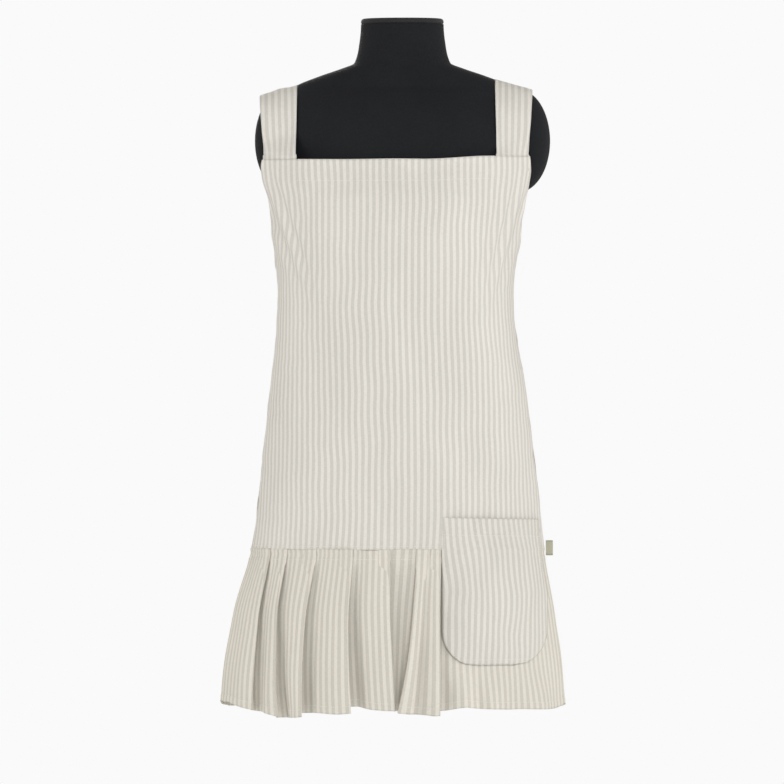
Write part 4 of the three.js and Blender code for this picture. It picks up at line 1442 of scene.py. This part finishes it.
    def add(self, name: str, replaced: str, folds: list[Fold], face: Face, hand: Hand) -> None:
        """Builds one length of the frill from its folds."""
        points, cloth = self.surface(folds, face, hand)
        ClothPiece(name, points, cloth, (replaced,), "gathered", ("front_cloth",)).build(
            self.wardrobe.shaded_frill_ticking
        )
        height = APRON.seam - APRON.hem
        lanes = np.linspace(0, points.shape[1] - 1, 2400)
        for level in (self.hem_turning, height - self.pressed):
            self.stitches.along_grid(points, np.full(2400, self.rows * level / height), lanes)

    def build(self) -> None:
        """Builds the front and both backs."""
        self.add("frill_cloth_front", "frill_front", self.front_folds(), Face.FRONT, Hand.LEFT)
        for hand in Hand:
            side = hand.name.lower()
            self.add(f"frill_cloth_back_{side}", f"frill_back_{side}", self.back_folds(hand), Face.BACK, hand)


# ---------------------------------------------------------------- pocket and tag
@dataclass
class PatchPocket:
    """The patch pocket with a hemmed mouth and rounded lower corners."""

    wardrobe: Wardrobe
    stitches: Stitching
    left: float = 0.053
    width: float = 0.148
    top: float = 0.070
    bottom: float = -0.137
    corner: float = 0.050
    mouth_hem: float = 0.024
    slope: float = 0.004
    columns: int = 62
    rows: int = 84

    def build(self) -> None:
        """Builds the pocket and its stitching."""
        v = np.linspace(0, 1, self.rows + 1)[:, None] ** 0.9
        u = np.linspace(0, 1, self.columns + 1)[None, :]
        level = self.bottom + v * (self.top - self.bottom)
        drop = np.maximum(0, self.corner - (level - self.bottom))
        inset = self.corner - np.sqrt(np.maximum(0, self.corner**2 - drop**2))
        right = np.minimum(self.left + self.width, APRON.middle(level) + 0.975 * APRON.half(level))
        start = self.left + 0.95 * inset
        end = right - 0.95 * inset
        x = start + u * (end - start)
        z = level - self.slope * (x - self.left) / self.width * smooth(v / 0.8) + 0 * x
        across = np.minimum(u, 1 - u) * (end - start)
        down = np.minimum(across, (level - self.bottom) * 1.0)
        belly = smooth(down / 0.030) * (0.45 + 0.55 * smooth((z - self.bottom) / 0.12))
        mouth = 1 - 0.75 * smooth((z - 0.01) / 0.055)
        out = 0.0029 + 0.0060 * belly * mouth + 0.0008 * smooth(down / 0.004)
        out = out + 0.0009 * belly * ripple(x * 1.4, z * 0.7, 0.045, 61)
        out = out + 0.0012 * belly * ripple(x, z, 0.08, 62)
        slant = (x - 0.10) * 0.55 + (z + 0.09) * 0.83
        out = out + 0.0016 * belly * bump(slant, 0.0, 0.012) - 0.0014 * belly * bump(slant, 0.022, 0.010)
        pucker = smooth((0.05 - (z - self.bottom)) / 0.05) * smooth(1 - down / 0.02)
        out = out + 0.0008 * pucker * ripple(x * 2.2, z * 0.4, 0.03, 63)
        hem_z = self.top - self.mouth_hem
        out = out + 0.0005 * smooth((z - hem_z) / 0.0015) - 0.0004 * bump(z, hem_z, 0.0013)
        out = out + 0.0008 * bump(z, APRON.seam, 0.003)
        out = out - 0.0005 * bump(down, 0.0042, 0.0011) - 0.0010 * smooth((0.0010 - down) / 0.001)
        turn = APRON.turn_at(x, z)
        points = APRON.point(turn, z, Face.FRONT, out)
        base = APRON.point(turn, z, Face.FRONT)
        arc = arc_across(base)
        arc = arc - arc[:, self.columns // 2][:, None]
        sway = 0.0022 * np.sin((z - 0.02) / 0.045) * smooth(v) + 0.0010 * ripple(x, z, 0.06, 64)
        cloth = np.stack([arc + sway, z], axis=-1)
        under = ("front_cloth", "frill_cloth_front")
        ClothPiece(
            "pocket_cloth", points, cloth, ("patch_pocket",), "stretched", under, 0.0008
        ).build(
            self.wardrobe.shaded_pocket_ticking
        )
        self.sew(points, arc)

    def sew(self, points: np.ndarray, arc: np.ndarray) -> None:
        """Sews the pocket's edge and its mouth hem."""
        across = arc[:, -1] - arc[:, 0]
        rows = np.linspace(self.rows, 2.4, 220)
        inner = 0.0042 / np.interp(rows, np.arange(self.rows + 1), across) * self.columns
        bottom = np.linspace(inner[-1], self.columns - inner[-1], 60)
        lanes = np.concatenate([inner, bottom, (self.columns - inner)[::-1]])
        climb = np.concatenate([rows, np.full(60, 2.4), rows[::-1]])
        self.stitches.along_grid(points, climb, lanes)
        share = (1 - self.mouth_hem / (self.top - self.bottom)) ** (1 / 0.9)
        lanes = np.linspace(1, self.columns - 1, 160)
        self.stitches.along_grid(points, np.full(160, share * self.rows), lanes)


@dataclass
class SideTag:
    """The folded ribbon in the wearer's left side seam."""

    wardrobe: Wardrobe
    ribbon: float = 0.0006

    def build(self) -> None:
        """Builds the ribbon as a loop that leaves the seam and comes back."""
        low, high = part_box("side_tag")
        length, gap = high.x - low.x, (high.y - low.y) / 2
        turns = np.linspace(0, 1, 37)
        reach = length - gap
        path = []
        for t in turns:
            if t < 0.4:
                path.append((low.x + reach * t / 0.4, -gap))
            elif t < 0.6:
                bend = math.pi * (t - 0.4) / 0.2 - math.pi / 2
                path.append((low.x + reach + gap * math.cos(bend), gap * math.sin(bend)))
            else:
                path.append((low.x + reach * (1 - t) / 0.4, gap))
        path = np.array(path)
        swell = 1 + 0.35 * np.sin(math.pi * np.clip((path[:, 0] - low.x) / reach, 0, 1))
        z = np.linspace(low.z, high.z, 43)[:, None]
        y = (path[:, 1] * swell)[None, :] + (low.y + high.y) / 2 + 0.0004 * np.sin((z - low.z) * 190)
        points = np.stack(np.broadcast_arrays(path[:, 0][None, :], y, z), axis=-1)
        arc = arc_across(points)
        cloth = np.stack([arc, np.broadcast_to(z - low.z, arc.shape)], axis=-1)
        mesh = sheet_mesh(points, cloth)
        piece = add_piece("tag_ribbon", mesh, self.wardrobe.ribbon, Body.TAG, ("side_tag",))
        thicken(piece, self.ribbon)


# ---------------------------------------------------------------- the studio
@dataclass
class Studio:
    """Plain floor, soft light and the camera."""

    distance: float = 12.06
    lens: float = 393.6
    aim: tuple[float, float] = (-0.0154, 0.245)
    roll: float = 0.1
    floor_z: float = -0.95
    floor_size: float = 11.5
    seen: float = 0.955
    lit: Triple = (0.44, 0.424, 0.392)

    def floor(self) -> None:
        """A pale floor well below the hem."""
        mesh = bmesh.new()
        bmesh.ops.create_grid(mesh, x_segments=2, y_segments=2, size=self.floor_size)
        bmesh.ops.translate(mesh, verts=mesh.verts, vec=(0, 0, self.floor_z))
        data = bpy.data.meshes.new("studio_floor")
        mesh.to_mesh(data)
        mesh.free()
        floor = bpy.data.objects.new("studio_floor", data)
        bpy.context.scene.collection.objects.link(floor)
        graph = NodeGraph("floor_paper")
        place = graph.own_place()
        tone = graph.noise(place, 3, 2)
        colour = graph.blend(tone, (0.86, 0.86, 0.86, 1), (0.9, 0.9, 0.9, 1))
        data.materials.append(graph.finish(Base_Color=colour, Roughness=0.9))

    def lamp(self, name: str, place: Triple, size: float, power: float, colour: Triple) -> None:
        """One soft square light aimed at the object."""
        data = bpy.data.lights.new(name, "AREA")
        data.shape = "SQUARE"
        data.size, data.energy, data.color = size, power, colour
        lamp = bpy.data.objects.new(name, data)
        lamp.location = place
        aim = Vector((0, 0, 0.25)) - Vector(place)
        lamp.rotation_euler = aim.to_track_quat("-Z", "Y").to_euler()
        bpy.context.scene.collection.objects.link(lamp)

    def world(self) -> None:
        """A near-white surround that lights the object more softly than it looks."""
        world = bpy.data.worlds.new("studio")
        world.use_nodes = True
        tree = world.node_tree
        tree.nodes.clear()
        path = tree.nodes.new("ShaderNodeLightPath")
        seen = tree.nodes.new("ShaderNodeBackground")
        lit = tree.nodes.new("ShaderNodeBackground")
        mix = tree.nodes.new("ShaderNodeMixShader")
        out = tree.nodes.new("ShaderNodeOutputWorld")
        seen.inputs[0].default_value = (self.seen, self.seen, self.seen, 1)
        lit.inputs[0].default_value = (*self.lit, 1)
        tree.links.new(path.outputs["Is Camera Ray"], mix.inputs[0])
        tree.links.new(lit.outputs[0], mix.inputs[1])
        tree.links.new(seen.outputs[0], mix.inputs[2])
        tree.links.new(mix.outputs[0], out.inputs[0])
        bpy.context.scene.world = world

    def camera(self) -> None:
        """The camera, straight in front and turned a little about its view."""
        data = bpy.data.cameras.new("front")
        data.lens = self.lens
        data.sensor_width = 36
        data.clip_end = 60
        camera = bpy.data.objects.new("front", data)
        camera.location = (self.aim[0], -self.distance, self.aim[1])
        camera.rotation_euler = (math.pi / 2, math.radians(self.roll), 0)
        bpy.context.scene.collection.objects.link(camera)
        bpy.context.scene.camera = camera

    def build(self) -> None:
        """Sets the studio up."""
        self.floor()
        self.world()
        self.lamp("key", (0.7, -3.2, 1.4), 1.6, 44, (1.0, 1.0, 1.0))
        self.lamp("left", (-3.0, -1.0, 0.5), 2.0, 33, (1.0, 0.985, 0.965))
        self.lamp("right", (3.0, -1.0, 0.6), 2.0, 33, (1.0, 0.985, 0.965))
        self.lamp("back", (-0.6, 2.8, 1.6), 1.6, 44, (1.0, 0.985, 0.96))
        bpy.context.scene.view_settings.view_transform = "Standard"
        self.camera()


def main() -> None:
    """Builds the object piece by piece."""
    logging.basicConfig(level=logging.INFO, format="%(message)s")
    wardrobe = Wardrobe()
    DisplayTorso(wardrobe).build()
    parts = {"body": Bodice, "straps": ShoulderStraps, "frill": Frill, "pocket": PatchPocket}
    for name, part in parts.items():
        stitches = Stitching(f"stitching_{name}")
        part(wardrobe, stitches).build()
        stitches.build(wardrobe.thread)
    SideTag(wardrobe).build()
    Studio().build()


if __name__ == "__main__":
    main()
